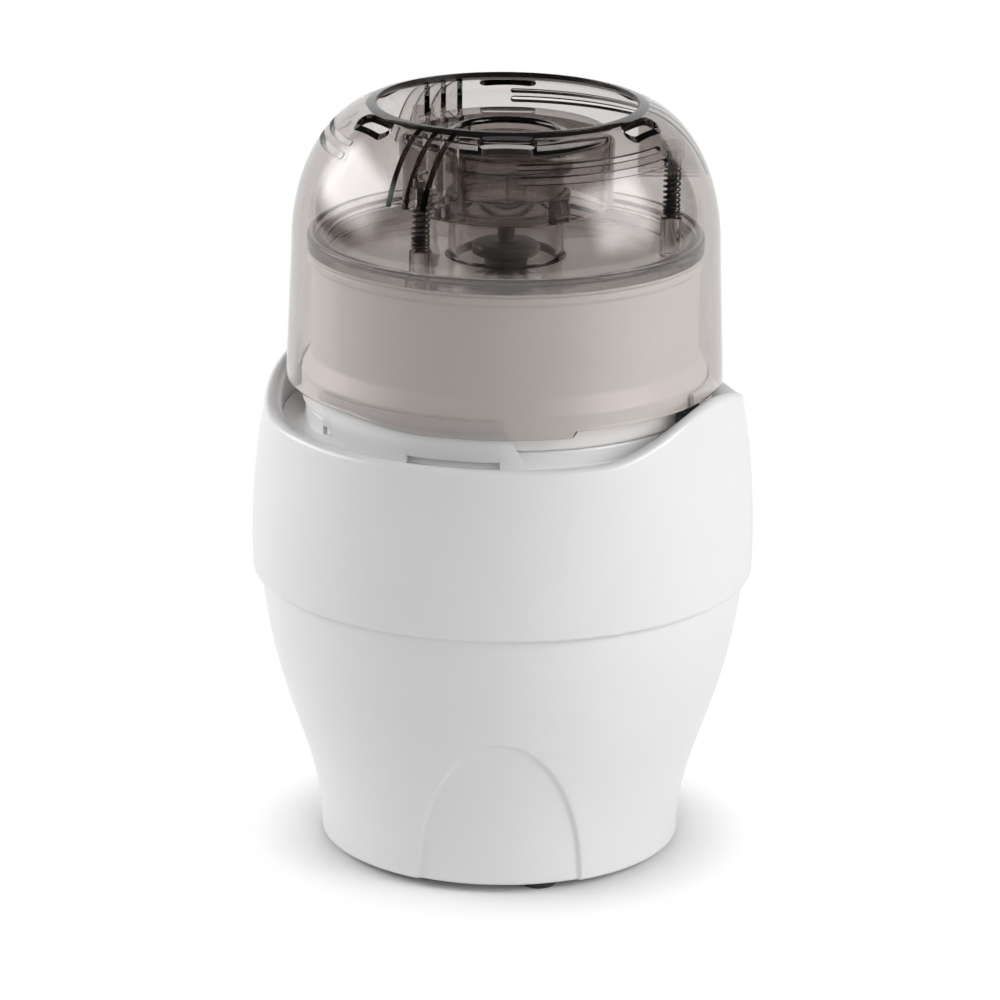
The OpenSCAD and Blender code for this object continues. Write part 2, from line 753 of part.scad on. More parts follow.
module slider_spring() color("silver") {
    at(slider_a, slider_mid) coil_spring(slider_spring_d, slider_spring_wire, slider_spring_turns,
        z_switch + seat_gap / 2, z_slider - seat_gap / 2);
}
module switch_slider() color("black") {
    band(slider_r[0], slider_r[1], z_slider, z_slider_top, slider_a - slider_half, slider_a + slider_half);
    at(slider_a, slider_mid) rod(stem_r, z_switch + sink, z_slider + sink);
}

// Motor, turning pieces
z_shaft_top = z_coupling + coupling_h - blind;
shaft_press = 0.01;
slot_count = 12;
slot_w = 2;
slot_depth = 5;
bar_slit = 0.6;
bar_slit_depth = 1.5;
module motor_shaft() color("silver") rod(shaft_r, z_shaft, z_shaft_top);
module on_shaft(r, z0, z1) {
    ring(shaft_r + shaft_press, r, z0, z1);
}
module armature_core() color("slategray") {
    difference() {
        on_shaft(armature_d / 2, z_stack, z_stack + stack_h);
        for (i = [0:slot_count - 1]) at(360 * i / slot_count, 0)
            bar(armature_d / 2 - slot_depth, armature_d, slot_w, z_stack - over, z_stack + stack_h + over);
    }
}
module armature_winding() color("chocolate") {
    outer = armature_d / 2 - slot_depth / 2;
    bevel = slot_depth / 2;
    for (z0 = [z_stack - winding_h, z_stack + stack_h])
        let (a = z0 + seat_gap / 2, b = z0 + winding_h - seat_gap / 2) rotate_extrude() polygon([
            [shaft_r + sink, a], [outer - bevel, a], [outer, a + bevel],
            [outer, b - bevel], [outer - bevel, b], [shaft_r + sink, b]
        ]);
}
module commutator() color("peru") {
    difference() {
        on_shaft(commutator_r, z_commutator, z_commutator + commutator_h);
        for (i = [0:slot_count - 1]) at(360 * i / slot_count, 0)
            bar(commutator_r - bar_slit_depth, commutator_r + over, bar_slit, z_commutator - over,
                z_commutator + commutator_h - blind);
    }
}
fan_blades = 12;
fan_disc_t = 1.6;
fan_blade_t = 1.4;
fan_hub_w = 5;
fan_blade_from = shaft_r + 12;
fan_blade_turn = 28;
module cooling_fan() color("lightgray") {
    on_shaft(shaft_r + fan_hub_w, z_fan, z_fan + fan_h);
    ring(shaft_r + fan_hub_w - sink, fan_d / 2, z_fan, z_fan + fan_disc_t);
    for (i = [0:fan_blades - 1]) at(360 * i / fan_blades, fan_blade_from) rotate([0, 0, fan_blade_turn])
        bar(0, fan_d / 2 - fan_blade_from - over, fan_blade_t, z_fan + sink, z_fan + fan_h);
}
module drive_coupling() color("dimgray") {
    difference() {
        translate([0, 0, z_coupling]) cylinder(r = coupling_r, h = coupling_h, $fn = 6);
        rod(shaft_r + shaft_press, z_coupling - over, z_shaft_top + shaft_press);
    }
}

// Bowl and blade
floor_round = 4;
bowl_bead = 1;
flare_slope = 1.8;
module bowl() color("whitesmoke") {
    rotate_extrude() polygon(concat(
        [[tube_r[0], z_bowl], [bowl_foot_r, z_bowl], [bowl_foot_r, z_bowl + bowl_foot_h],
            [bowl_r, z_bowl + bowl_foot_h + flare_slope * bowl_flare], [bowl_r, z_bowl_rim - 3 * bowl_bead],
            [bowl_r + bowl_bead, z_bowl_rim - 2 * bowl_bead], [bowl_r + bowl_bead, z_bowl_rim],
            [bowl_in_r, z_bowl_rim]],
        [for (a = [0:15:90]) [bowl_in_r - floor_round * (1 - cos(a)),
            z_bowl_floor + floor_round * (1 - sin(a))]],
        [[tube_r[1], z_bowl_floor], [tube_r[1], z_tube], [tube_r[0], z_tube]]
    ));
}
module blade_hub() color("whitesmoke") {
    difference() {
        union() {
            rod(hub_r + hub_flange_w, z_hub, z_hub + hub_flange_h);
            rod(hub_r, z_hub, z_hub_top);
            rod(hub_r / 2, z_hub_top - over, z_hub_disc);
            rod(hub_disc_r, z_hub_disc - sink, z_hub_disc + hub_disc_h);
            rod(hub_post_r, z_hub_disc, z_hub_disc + hub_disc_h + hub_post_h);
        }
        rod(hub_in_r, z_hub - over, z_hub_shoulder);
        translate([0, 0, z_hub_shoulder - sink]) cylinder(
            r = coupling_r + slide_gap, $fn = 6,
            h = z_coupling + coupling_h + slide_gap - z_hub_shoulder + sink);
    }
}
function blade_edge(side) = [for (i = [0:blade_steps]) let (
    t = i / blade_steps,
    r = hub_r + over + (blade_d / 2 - hub_r - over) * t,
    w = blade_root_w + (blade_tip_w - blade_root_w) * t,
    a = blade_sweep * t * t
) [r * cos(a) - side * w / 2 * sin(a), r * sin(a) + side * w / 2 * cos(a)]];
module blade(z, turn) {
    rotate([0, 0, turn]) translate([0, 0, z]) difference() {
        union() {
            cylinder(r = hub_r + blade_ring_w, h = blade_t);
            for (a = [0, 180]) rotate([0, 0, a]) linear_extrude(blade_t) polygon(concat(
                blade_edge(-1), [for (i = [blade_steps:-1:0]) blade_edge(1)[i]]));
        }
        translate([0, 0, -over]) cylinder(r = hub_r + press_gap, h = blade_t + 2 * over);
    }
}
z_upper_blade = z_blade + blade_t + blade_gap + 2 * press_gap;
module lower_blade() color("silver") blade(z_blade, blade_turn);
module blade_spacer() color("silver") {
    ring(hub_r + press_gap, hub_r + hub_flange_w, z_blade + blade_t + press_gap, z_upper_blade - press_gap);
}
module upper_blade() color("silver") blade(z_upper_blade, blade_turn + 90);
module blade_retainer() color("silver") {
    ring(hub_r + press_gap, hub_r + hub_flange_w, z_upper_blade + blade_t + press_gap,
        z_upper_blade + blade_t + hub_flange_h);
}

// Inner lid with its filler
module inner_lid() color([0.4, 0.37, 0.35, 0.5]) {
    difference() {
        union() {
            ring(neck_r[0], plug_r, z_plate - lid_t, z_plate);
            ring(plug_r - lid_t, plug_r, z_plate - lid_t, z_lid_rim - over);
            ring(plug_r - lid_t, lid_r, z_lid, z_lid + lid_t);
            ring(lid_r - lid_t, lid_r, z_lid, z_lid_rim);
            ring(neck_r[0], neck_r[1], z_plate - lid_t, z_neck + lid_t);
            ring(neck_r[0], cup_r, z_neck, z_neck + lid_t);
            ring(neck_r[1], cup_r, z_neck, z_neck + cup_h);
            for (t = thirds) {
                at(lug_a + t, 0) bar(cup_r - sink, cup_r + lug_len, lug_w, z_neck, z_neck + cup_h);
                at(spring_a + t, spring_r) rod(post_r, z_plate - sink, z_post);
            }
        }
        for (t = thirds) at(spring_a + t, spring_r) rod(pin_r + slide_gap, z_plate + over, z_post + over);
    }
}
module lid_gasket() color("lightgray") {
    ring(bowl_in_r + seat_gap, bowl_r + sink, z_bowl_rim + seat_gap - press_gap, z_lid - press_gap);
}
z_knob_top = z_knob + knob_h;
rib_z = [6, 11];
rib_w = 2.5;
rib_t = 1.6;
module lid_knob() color([0.4, 0.37, 0.35, 0.5]) {
    rotate_extrude() polygon(concat(
        [[filler_d / 2, z_neck + lid_t + seat_gap], [knob_tube_r, z_neck + lid_t + seat_gap],
            [knob_tube_r, z_knob_top - lid_t], [knob_r - knob_round, z_knob_top - lid_t]],
        [for (a = [75:-15:0]) [knob_r - knob_round + (knob_round - lid_t) * cos(a),
            z_knob_top - knob_round + (knob_round - lid_t) * sin(a)]],
        [[knob_r - lid_t, z_knob], [knob_r, z_knob]],
        [for (a = [0:15:90]) [knob_r - knob_round + knob_round * cos(a),
            z_knob_top - knob_round + knob_round * sin(a)]],
        [[filler_d / 2, z_knob_top]]
    ));
    for (z = rib_z) ring(knob_tube_r - sink, knob_tube_r + rib_w, z_knob_top - z, z_knob_top - z + rib_t);
}

// Dome
function shoulder_points(inset) = let (last = acos((mouth_r + lip_round - crown_r) / (shoulder_w - inset)))
    [for (i = [0:shoulder_steps]) let (a = last * i / shoulder_steps)
        [crown_r + (shoulder_w - inset) * cos(a), z_shoulder + (shoulder_h - inset) * sin(a)]];
module dome_fill(inset) {
    rotate_extrude() polygon(concat([[0, z_dome], [dome_r - inset, z_dome]], shoulder_points(inset),
        [[0, z_shoulder + (shoulder_h - inset)]]));
}
module oval_prism(len, w, h) {
    linear_extrude(h) {
        square([w, len - w], center = true);
        for (s = [-1, 1]) translate([0, s * (len - w) / 2]) circle(d = w);
    }
}
module long_slot(r, w, a) {
    slope = crown_slope(r);
    rotate([0, 0, a - long_slot_half - 90]) rotate_extrude(angle = 2 * long_slot_half)
        translate([r, crown_z(r)]) rotate(-slope) square([w, 4 * dome_wall], center = true);
    for (s = [-1, 1]) at(a + s * long_slot_half, r, crown_z(r)) rotate([0, slope, 0])
        cylinder(d = w, h = 4 * dome_wall, center = true);
}
module tab_cuts() {
    mid = (tab_ends[0] + tab_ends[1]) / 2;
    half = dome_r * sin(mid - tab_ends[0]);
    function side(i, h) = [(2 * i - 1) * (half - tab_slopes[i] * h / tab_h), h];
    for (t = thirds) at(mid + t, tab_deep, z_dome) rotate([90, 0, 90])
        linear_extrude(dome_r + over - tab_deep)
            polygon([side(0, -over), side(0, tab_h), side(1, tab_h), side(1, -over)]);
}
module fins() {
    difference() {
        intersection() {
            for (t = thirds) at(fin_a + t, 0) {
                for (i = [-1:1]) translate([0, i * fin_pitch, 0])
                    bar(mouth_r - seat_gap, dome_r, fin_t, z_fin, z_dome_top);
                translate([spring_r, 0, 0])
                    rod(pocket_r + seat_gap, z_spring_top + pocket_gap, z_spring_top + spring_boss_h);
            }
            dome_fill(dome_wall / 2);
        }
        for (t = thirds) at(fin_a + t, spring_r) {
            rod(pocket_r, z_fin - over, z_spring_top + pocket_gap);
            rod(pin_r + press_gap, z_fin, z_spring_top + pin_seat + press_gap);
        }
    }
}
module press_dome() color([0.4, 0.37, 0.35, 0.45]) {
    difference() {
        union() {
            rotate_extrude() polygon(concat([[dome_in_r, z_dome], [dome_r, z_dome]], shoulder_points(0),
                [for (i = [shoulder_steps:-1:0]) shoulder_points(dome_wall)[i]]));
            translate([0, 0, crown_z(mouth_r + lip_round) - dome_wall / 2]) rotate_extrude()
                translate([mouth_r + lip_round, 0]) circle(r = lip_round, $fn = 32);
            fins();
        }
        for (k = [0:5]) at(60 * k, oval_r, z_dome_top - oval_cut) oval_prism(oval_len, oval_w, 2 * oval_cut);
        for (t = thirds, i = [0, 1]) long_slot(long_slot_r[i], long_slot_w[i], long_slot_a + t);
        tab_cuts();
    }
}
module spring_pins() color("dimgray") {
    for (t = thirds) at(spring_a + t, spring_r) rod(pin_r, z_post - pin_dip, z_spring_top + pin_seat);
}
module press_springs() color("black") {
    for (t = thirds) at(spring_a + t, spring_r)
        coil_spring(spring_d, spring_wire, spring_turns, z_post + seat_gap / 2, z_spring_top);
}

lower_housing();
upper_housing();
deck();
base_plate();
feet();
plate_screws();
shell_screws();
cord_gland();
stator_core();
field_coils();
lower_bracket();
upper_bracket();
lower_bearing();
upper_bearing();
motor_bolts();
motor_dampers();
damper_screws();
brush_holders();
carbon_brushes();
shaft_seal();
switch_bracket();
switch_body();
switch_screws();
slider_spring();
motor_shaft();
armature_core();
armature_winding();
commutator();
cooling_fan();
drive_coupling();
switch_slider();
bowl();
blade_hub();
lower_blade();
blade_spacer();
upper_blade();
blade_retainer();
inner_lid();
lid_gasket();
lid_knob();
press_dome();
spring_pins();
press_springs();
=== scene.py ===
"""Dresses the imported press-lid food chopper and sets it on a pale studio floor.

Sizes are in metres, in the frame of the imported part: +Z up, the front faces -Y, and directions round
the axis are counted from the front towards the right-hand side.
"""

import json
import math

import bmesh
import bpy
from bpy.props import FloatProperty, FloatVectorProperty, IntProperty, PointerProperty
from mathutils import Matrix, Vector


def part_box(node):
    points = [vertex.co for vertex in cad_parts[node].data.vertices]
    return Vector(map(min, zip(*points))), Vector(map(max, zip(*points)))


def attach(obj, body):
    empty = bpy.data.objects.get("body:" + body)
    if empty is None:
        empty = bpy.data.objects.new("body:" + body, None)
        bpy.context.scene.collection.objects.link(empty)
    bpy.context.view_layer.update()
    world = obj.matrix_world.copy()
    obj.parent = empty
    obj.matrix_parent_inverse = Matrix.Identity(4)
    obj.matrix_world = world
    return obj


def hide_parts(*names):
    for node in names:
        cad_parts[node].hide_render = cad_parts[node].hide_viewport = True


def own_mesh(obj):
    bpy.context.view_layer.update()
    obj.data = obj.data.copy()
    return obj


bl_info = {
    "name": "Press-lid food chopper",
    "version": (1, 0, 0),
    "blender": (4, 5, 0),
    "location": "3D View > Sidebar > Chopper",
    "description": "Makes the shells, the clear dome, the springs and the finishes of a food chopper",
    "category": "Object",
}

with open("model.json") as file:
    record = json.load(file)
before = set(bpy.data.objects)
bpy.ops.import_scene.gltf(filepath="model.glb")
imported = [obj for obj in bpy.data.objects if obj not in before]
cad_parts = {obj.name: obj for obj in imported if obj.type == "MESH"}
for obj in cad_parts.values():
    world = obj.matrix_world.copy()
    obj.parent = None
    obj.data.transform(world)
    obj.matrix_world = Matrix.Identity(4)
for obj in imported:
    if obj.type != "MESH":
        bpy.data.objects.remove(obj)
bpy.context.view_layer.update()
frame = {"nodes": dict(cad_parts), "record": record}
NODES = frame["nodes"]
MM = 0.001
THIRDS = 3
FINISH = "_finish"
SHARP = 40  # degrees from which an edge is shaded as a crease
CREASE = 25  # the same for the ground blades
WHITE = (1, 1, 1, 1)


def mm(name, description, value):
    """A length that a user can change, given in millimetres."""
    return FloatProperty(name=name, description=description, default=value * MM, unit="LENGTH", precision=5)


def turn(name, description, value):
    """An angle that a user can change, given in degrees."""
    return FloatProperty(name=name, description=description, default=math.radians(value), subtype="ANGLE")


def tint(name, description, value):
    """A colour that a user can change."""
    return FloatVectorProperty(
        name=name, description=description, default=value, size=3, subtype="COLOR", min=0, max=1)


def amount(name, description, value):
    """A plain number that a user can change."""
    return FloatProperty(name=name, description=description, default=value, min=0)


class BaseSizes(bpy.types.PropertyGroup):
    """Sizes of the motor base."""

    low: mm("Lower edge", "Height of the housing's lower edge above the table", 2.5)
    low_r: mm("Lower radius", "Radius of the housing at its lower edge", 54.1)
    seam: mm("Seam", "Height of the seam between the two shells", 85.5)
    seam_step: mm("Seam step", "How far the upper shell overhangs the lower one", 2.4)
    widest: mm("Widest", "Height where the barrel is widest", 95.5)
    barrel_r: mm("Barrel radius", "Radius of the barrel where it is widest", 75)
    rim: mm("Rim", "Height of the collar's low rim", 136)
    rim_r: mm("Rim radius", "Radius of the barrel at the low rim", 71.5)
    wing: mm("Wing", "How far the collar's wings rise above the low rim", 10.8)
    collar_r: mm("Collar radius", "Radius of the collar's inner wall", 66.2)
    groove: mm("Groove", "Height of the floor of the groove inside the collar", 133)
    wall: mm("Wall", "Thickness of the shells", 2.5)
    arch_w: mm("Arch width", "Width of the arched recess in the front", 48.2)
    arch_h: mm("Arch height", "Height of the arched recess", 48.3)
    arch_depth: mm("Arch depth", "Depth of the arched recess", 0.95)
    arch_edge: mm("Arch edge", "Width of the arched recess's sloping edge", 1.1)


class DeckSizes(bpy.types.PropertyGroup):
    """Sizes of the deck inside the collar."""

    seat: mm("Seat", "Height of the bowl's seat", 138.5)
    turret_r: mm("Turret radius", "Radius of the bowl's seat", 59.2)
    guide_in: mm("Guide inner radius", "Inner radius of the guide walls", 60.6)
    guide_out: mm("Guide outer radius", "Outer radius of the guide walls", 61.8)
    guide_top: mm("Guide top", "Height of the guide walls' upper edge", 148)
    guide_from: turn("Guide start", "Direction of a guide wall's upright end", -59)
    guide_to: turn("Guide end", "Direction of a guide wall's leaning end, at the groove", 7)
    guide_lean: turn("Guide lean", "How far the leaning end leans", 29)
    slider_at: turn("Slider", "Direction of the switch slider", 57.5)
    slider_half: turn("Slider half width", "Half the angle that the slider covers", 5)
    slider_in: mm("Slider inner radius", "Inner radius of the slider", 62.6)
    slider_out: mm("Slider outer radius", "Outer radius of the slider", 65.2)
    slider_low: mm("Slider bottom", "Height of the slider's lower edge", 118)
    slider_top: mm("Slider top", "Height of the slider's upper edge", 144.9)


class BowlSizes(bpy.types.PropertyGroup):
    """Sizes of the bowl and the blade."""

    low: mm("Bottom", "Height of the bowl's underside", 138.7)
    rim: mm("Rim", "Height of the bowl's rim", 183.9)
    radius: mm("Radius", "Outer radius of the bowl's wall", 57.5)
    foot_r: mm("Foot radius", "Radius of the bowl's flared foot", 60.2)
    foot_h: mm("Foot height", "Height of the straight part of the foot", 10.4)
    wall: mm("Wall", "Thickness of the bowl's wall and floor", 2.2)
    tube_in: mm("Tube bore", "Inner radius of the tube in the middle", 7.6)
    tube_out: mm("Tube radius", "Outer radius of the tube in the middle", 9.5)
    tube_top: mm("Tube top", "Height of the tube in the middle", 160.2)
    hub_r: mm("Hub radius", "Radius of the blade's hub", 12.9)
    hub_low: mm("Hub bottom", "Height of the hub's lower edge", 141.9)
    hub_top: mm("Hub top", "Height of the hub's shoulder", 173.1)
    head: mm("Head", "Height of the underside of the hub's head", 182.7)
    head_r: mm("Head radius", "Radius of the hub's head", 10)
    blade_r: mm("Blade radius", "Radius of the circle that the blade tips run on", 52)
    blade_t: mm("Blade thickness", "Thickness of the blades", 1.4)
    blade_low: mm("Lower blade", "Height of the lower blade", 144.45)
    blade_high: mm("Upper blade", "Height of the upper blade", 156.15)
    blade_sweep: turn("Sweep", "How far the blades sweep back", 32)


class LidSizes(bpy.types.PropertyGroup):
    """Sizes of the inner lid and the filler."""

    plate: mm("Plate", "Height of the lid's sunken plate", 181.8)
    seat: mm("Seat", "Height of the lid's flange on the bowl", 184.9)
    rim: mm("Rim", "Height of the lid's rim", 189.3)
    rim_r: mm("Rim radius", "Radius of the lid's rim", 58.7)
    plug_r: mm("Plug radius", "Radius of the plug that enters the bowl", 54.9)
    wall: mm("Wall", "Thickness of the lid and the filler", 2)
    neck_in: mm("Neck bore", "Inner radius of the neck", 15)
    neck_out: mm("Neck radius", "Outer radius of the neck", 17)
    cup_r: mm("Cup radius", "Radius of the cup that holds the filler", 18.7)
    neck_top: mm("Neck top", "Height of the floor of the cup", 195.1)
    cup_h: mm("Cup height", "Height of the cup", 7)
    lug_at: turn("Lug", "Direction of the first lug on the cup", 50)
    lug_w: mm("Lug width", "Width of a lug", 6.5)
    lug_len: mm("Lug length", "How far a lug stands out", 2.6)
    knob_low: mm("Cap bottom", "Height of the filler cap's lower edge", 197.6)
    knob_top: mm("Cap top", "Height of the filler cap's top", 219.6)
    knob_r: mm("Cap radius", "Outer radius of the filler's cap", 31.5)
    knob_round: mm("Cap round", "Radius of the filler cap's upper edge", 3.5)
    filler_r: mm("Filler radius", "Radius of the filler's hole", 14.6)
    filler_tube: mm("Filler tube", "Outer radius of the filler's tube", 16.8)
    post_r: mm("Post radius", "Radius of the posts under the springs", 3.2)
    post_top: mm("Post top", "Height of the posts under the springs", 193.6)


class DomeSizes(bpy.types.PropertyGroup):
    """Sizes of the clear dome."""

    low: mm("Tabs", "Height of the lower edge of the dome's tabs", 143.3)
    edge: mm("Lower edge", "Height of the dome's lower edge between the tabs", 145.2)
    tab_from: turn("Tab start", "Direction where the first tab has come down", -24)
    tab_to: turn("Tab end", "Direction where the first tab ends", 18)
    shoulder: mm("Shoulder", "Height where the dome starts to round over", 186)
    top: mm("Top", "Height that the rounded shoulder aims for", 228)
    radius: mm("Radius", "Radius of the dome's lower edge", 64.9)
    taper: mm("Taper", "How far the dome draws in below its shoulder", 1.6)
    wall: mm("Wall", "Thickness of the dome", 2.3)
    mouth_r: mm("Mouth radius", "Radius of the opening in the crown", 38.5)
    crown_r: mm("Crown radius", "Radius where the shoulder's curve ends", 36)
    lip: mm("Lip", "How far the lip of the opening reaches in from the crown", 1.5)
    lip_h: mm("Lip height", "Height of the lip's face in the opening", 1.4)
    fin_low: mm("Fins", "Height of the lower edge of the fins", 207.1)
    fin_t: mm("Fin thickness", "Thickness of a fin", 1.8)
    fin_pitch: mm("Fin pitch", "Distance between neighbouring fins", 5.6)
    oval_r: mm("Oval radius", "Distance of the oval slots from the axis", 44)
    oval_len: mm("Oval length", "Length of an oval slot", 17)
    oval_w: mm("Oval width", "Width of an oval slot", 5)
    slot_at: turn("Long slots", "Direction of the middle of the long slots", 31)
    slot_half: turn("Long slot half", "Half the angle that a long slot covers", 28)
    slot_r: mm("Inner long slot", "Distance of the inner long slots from the axis", 51.5)
    slot_w: mm("Inner long slot width", "Width of the inner long slots", 1.9)
    slot2_r: mm("Outer long slot", "Distance of the outer long slots from the axis", 54.3)
    slot2_w: mm("Outer long slot width", "Width of the outer long slots", 2.4)
    slot_deep: mm("Long slot depth", "Depth of the long slots", 1.3)


class SpringSizes(bpy.types.PropertyGroup):
    """Sizes of the springs."""

    at: turn("First spring", "Direction of the first of the dome's springs", -30)
    reach: mm("Reach", "Distance of the dome's springs from the axis", 48.6)
    diameter: mm("Diameter", "Outer diameter of a dome spring", 5.4)
    wire: mm("Wire", "Wire of a dome spring", 0.65)
    turns: IntProperty(name="Turns", description="Turns of a dome spring", default=13, min=4, max=30)
    low: mm("Bottom", "Height of the springs' lower end", 193.7)
    top: mm("Top", "Height of the springs' upper end", 211.6)
    pin_r: mm("Pin radius", "Radius of the pins inside the springs", 1.5)
    pin_low: mm("Pin bottom", "Height of the pins' lower end", 192.8)
    pin_top: mm("Pin top", "Height of the pins' upper end", 213.8)
    slider_low: mm("Slider spring bottom", "Height of the slider spring's lower end", 110.1)
    slider_top: mm("Slider spring top", "Height of the slider spring's upper end", 117.9)
    slider_d: mm("Slider spring", "Outer diameter of the slider's spring", 5.6)
    slider_wire: mm("Slider spring wire", "Wire of the slider's spring", 0.5)
    slider_turns: IntProperty(
        name="Slider spring turns", description="Turns of the slider's spring", default=5, min=2, max=12)
    travel: mm("Travel", "How far the dome can be pressed down", 5)


class Finishes(bpy.types.PropertyGroup):
    """Colours of the surfaces."""

    housing: tint("Housing", "Colour of the motor base", (0.82, 0.82, 0.82))
    bowl: tint("Bowl", "Colour of the bowl", (0.92, 0.90, 0.88))
    smoke: tint("Smoke", "Share of the light that the clear plastic keeps", (0.40, 0.32, 0.28))
    smoke_density: amount("Smoke density", "How strongly the dome's plastic takes up light", 195)
    lid_density: amount("Lid density", "How strongly the inner lid's plastic takes up light", 105)
    deep_density: amount("Filler density", "How strongly the filler's plastic takes up light", 380)
    black: tint("Black", "Colour of the switch slider", (0.012, 0.012, 0.013))
    rubber: tint("Rubber", "Colour of the feet and seals", (0.035, 0.034, 0.034))
    steel: tint("Steel", "Colour of the blades and screws", (0.66, 0.66, 0.67))
    spring: tint("Spring", "Colour of the springs", (0.10, 0.095, 0.09))


class StageSettings(bpy.types.PropertyGroup):
    """Camera, lamps and floor."""

    camera_at: FloatVectorProperty(
        name="Camera", description="Place of the camera", subtype="TRANSLATION",
        default=(-0.0009, -1.4794, 0.5699))
    camera_pitch: turn("Pitch", "How far the camera looks down", 17.43)
    camera_roll: turn("Roll", "How far the camera is rolled", 0.66)
    lens: FloatProperty(
        name="Lens", description="Focal length of the camera", default=186.28, subtype="DISTANCE_CAMERA")
    floor: tint("Floor", "Colour of the floor", (0.9, 0.9, 0.9))
    ambient: amount("Ambient", "Light that comes from all round", 0.12)
    surround: amount("Surround", "Level of the room that clear pieces show", 0.04)


# Small mesh tools


def polar(a, r, z=0.0):
    """Point at direction a, in radians from the front towards the right."""
    return Vector((r * math.sin(a), -r * math.cos(a), z))


def quarter(steps, first=0):
    """Angles from 0 to a quarter turn, in even steps."""
    return [math.pi / 2 * i / steps for i in range(first, steps + 1)]


def band(r0, r1, z0, z1):
    """Square-cut outline between two radii and two heights."""
    return [(r0, z0), (r1, z0), (r1, z1), (r0, z1)]


def fillet(corners, steps=6):
    """A closed outline with rounded corners, from (x, y, radius) corners."""
    out = []
    count = len(corners)
    tiny, most = 1e-9, 0.49
    for i, (x, y, radius) in enumerate(corners):
        here = Vector((x, y))
        back = Vector(corners[i - 1][:2]) - here
        ahead = Vector(corners[(i + 1) % count][:2]) - here
        if radius <= 0 or back.length < tiny or ahead.length < tiny:
            out.append((x, y))
            continue
        half = back.angle(ahead) / 2
        reach = min(radius / math.tan(half), most * back.length, most * ahead.length)
        start, end = here + back.normalized() * reach, here + ahead.normalized() * reach
        middle = here + (back.normalized() + ahead.normalized()).normalized() * (reach / math.cos(half))
        a, b = start - middle, end - middle
        sweep = math.atan2(a.x * b.y - a.y * b.x, a.dot(b))
        for k in range(steps + 1):
            t = sweep * k / steps
            out.append((middle.x + a.x * math.cos(t) - a.y * math.sin(t),
                        middle.y + a.x * math.sin(t) + a.y * math.cos(t)))
    return out


def cleaned(mesh, near, thin, face_out=False):
    """Merges points that lie together, drops faces without area and can turn all faces outwards."""
    work = bmesh.new()
    work.from_mesh(mesh)
    bmesh.ops.remove_doubles(work, verts=work.verts, dist=near)
    bmesh.ops.dissolve_degenerate(work, edges=work.edges, dist=thin)
    if face_out:
        bmesh.ops.recalc_face_normals(work, faces=work.faces)
    work.to_mesh(mesh)
    work.free()


def shaded(mesh, sharp=SHARP):
    """Smooth shading with creases along the sharp edges."""
    mesh.shade_smooth()
    mesh.set_sharp_from_angle(angle=math.radians(sharp))


def linked(name, data):
    """A new object at the origin that holds the data."""
    thing = bpy.data.objects.new(name, data)
    bpy.context.scene.collection.objects.link(thing)
    return thing


def dropped(thing):
    """Removes an object and its mesh."""
    mesh = thing.data
    bpy.data.objects.remove(thing)
    bpy.data.meshes.remove(mesh)


def piece(name, verts, faces, sharp=SHARP):
    """A new smooth-shaded mesh object at the origin, with its doubles merged and its faces outwards."""
    mesh = bpy.data.meshes.new(name)
    mesh.from_pydata(verts, [], faces)
    cleaned(mesh, 1e-7, 1e-8, face_out=True)
    shaded(mesh, sharp)
    return linked(name, mesh)


def loft(name, sections, closed=True, sharp=SHARP):
    """Joins closed outlines of equal length, either in a ring or with a cap at each end."""
    n = len(sections[0])
    verts = [p for s in sections for p in s]
    faces = []
    count = len(sections)
    for s in range(count if closed else count - 1):
        t = (s + 1) % count
        faces += [(s * n + i, s * n + (i + 1) % n, t * n + (i + 1) % n, t * n + i) for i in range(n)]
    if not closed:
        faces += [tuple(range(n)), tuple(range((count - 1) * n, count * n))]
    return piece(name, verts, faces, sharp)


def revolve(name, outline, steps=192, start=0.0, sweep=math.tau):
    """Turns a closed (radius, height) outline round the axis, wholly or from start by sweep."""
    whole = sweep >= math.tau - 1e-9
    count = steps if whole else steps + 1
    angles = [start + sweep * i / steps for i in range(count)]
    return loft(name, [[polar(a, r, z) for r, z in outline] for a in angles], whole)


def baked(thing):
    """Turns an object with modifiers into a plain, clean mesh."""
    near = 2e-6
    graph = bpy.context.evaluated_depsgraph_get()
    mesh = bpy.data.meshes.new_from_object(thing.evaluated_get(graph))
    old = thing.data
    thing.modifiers.clear()
    thing.data = mesh
    bpy.data.meshes.remove(old)
    mesh.name = thing.name
    cleaned(mesh, near, near)
    shaded(mesh)
    return thing


def combine(thing, other, operation):
    """Adds or cuts away another closed mesh, which is used up."""
    change = thing.modifiers.new("Combine", "BOOLEAN")
    change.operation, change.object, change.solver = operation, other, "EXACT"
    change.use_self = False
    baked(thing)
    dropped(other)
    return thing


def eased(thing, width, segments=2):
    """Rounds the sharp edges of a mesh."""
    soft = thing.modifiers.new("Ease", "BEVEL")
    soft.width, soft.segments, soft.limit_method = width, segments, "ANGLE"
    soft.angle_limit = math.radians(38)
    soft.harden_normals = False
    return baked(thing)


def joined(name, things):
    """Joins several meshes into one object."""
    work = bmesh.new()
    for t in things:
        work.from_mesh(t.data)
    mesh = bpy.data.meshes.new(name)
    work.to_mesh(mesh)
    work.free()
    shaded(mesh)
    for t in things:
        dropped(t)
    return linked(name, mesh)


def block(name, size):
    """A box round the origin."""
    x, y, z = (s / 2 for s in size)
    corners = [Vector((sx * x, sy * y, sz * z)) for sx in (-1, 1) for sy in (-1, 1) for sz in (-1, 1)]
    sides = [(0, 1, 3, 2), (4, 6, 7, 5), (0, 4, 5, 1), (2, 3, 7, 6), (0, 2, 6, 4), (1, 5, 7, 3)]
    return piece(name, corners, sides)


def placed(thing, matrix):
    """Moves a mesh's own points, so that its object stays at the origin."""
    thing.data.transform(matrix)
    thing.data.update()
    return thing


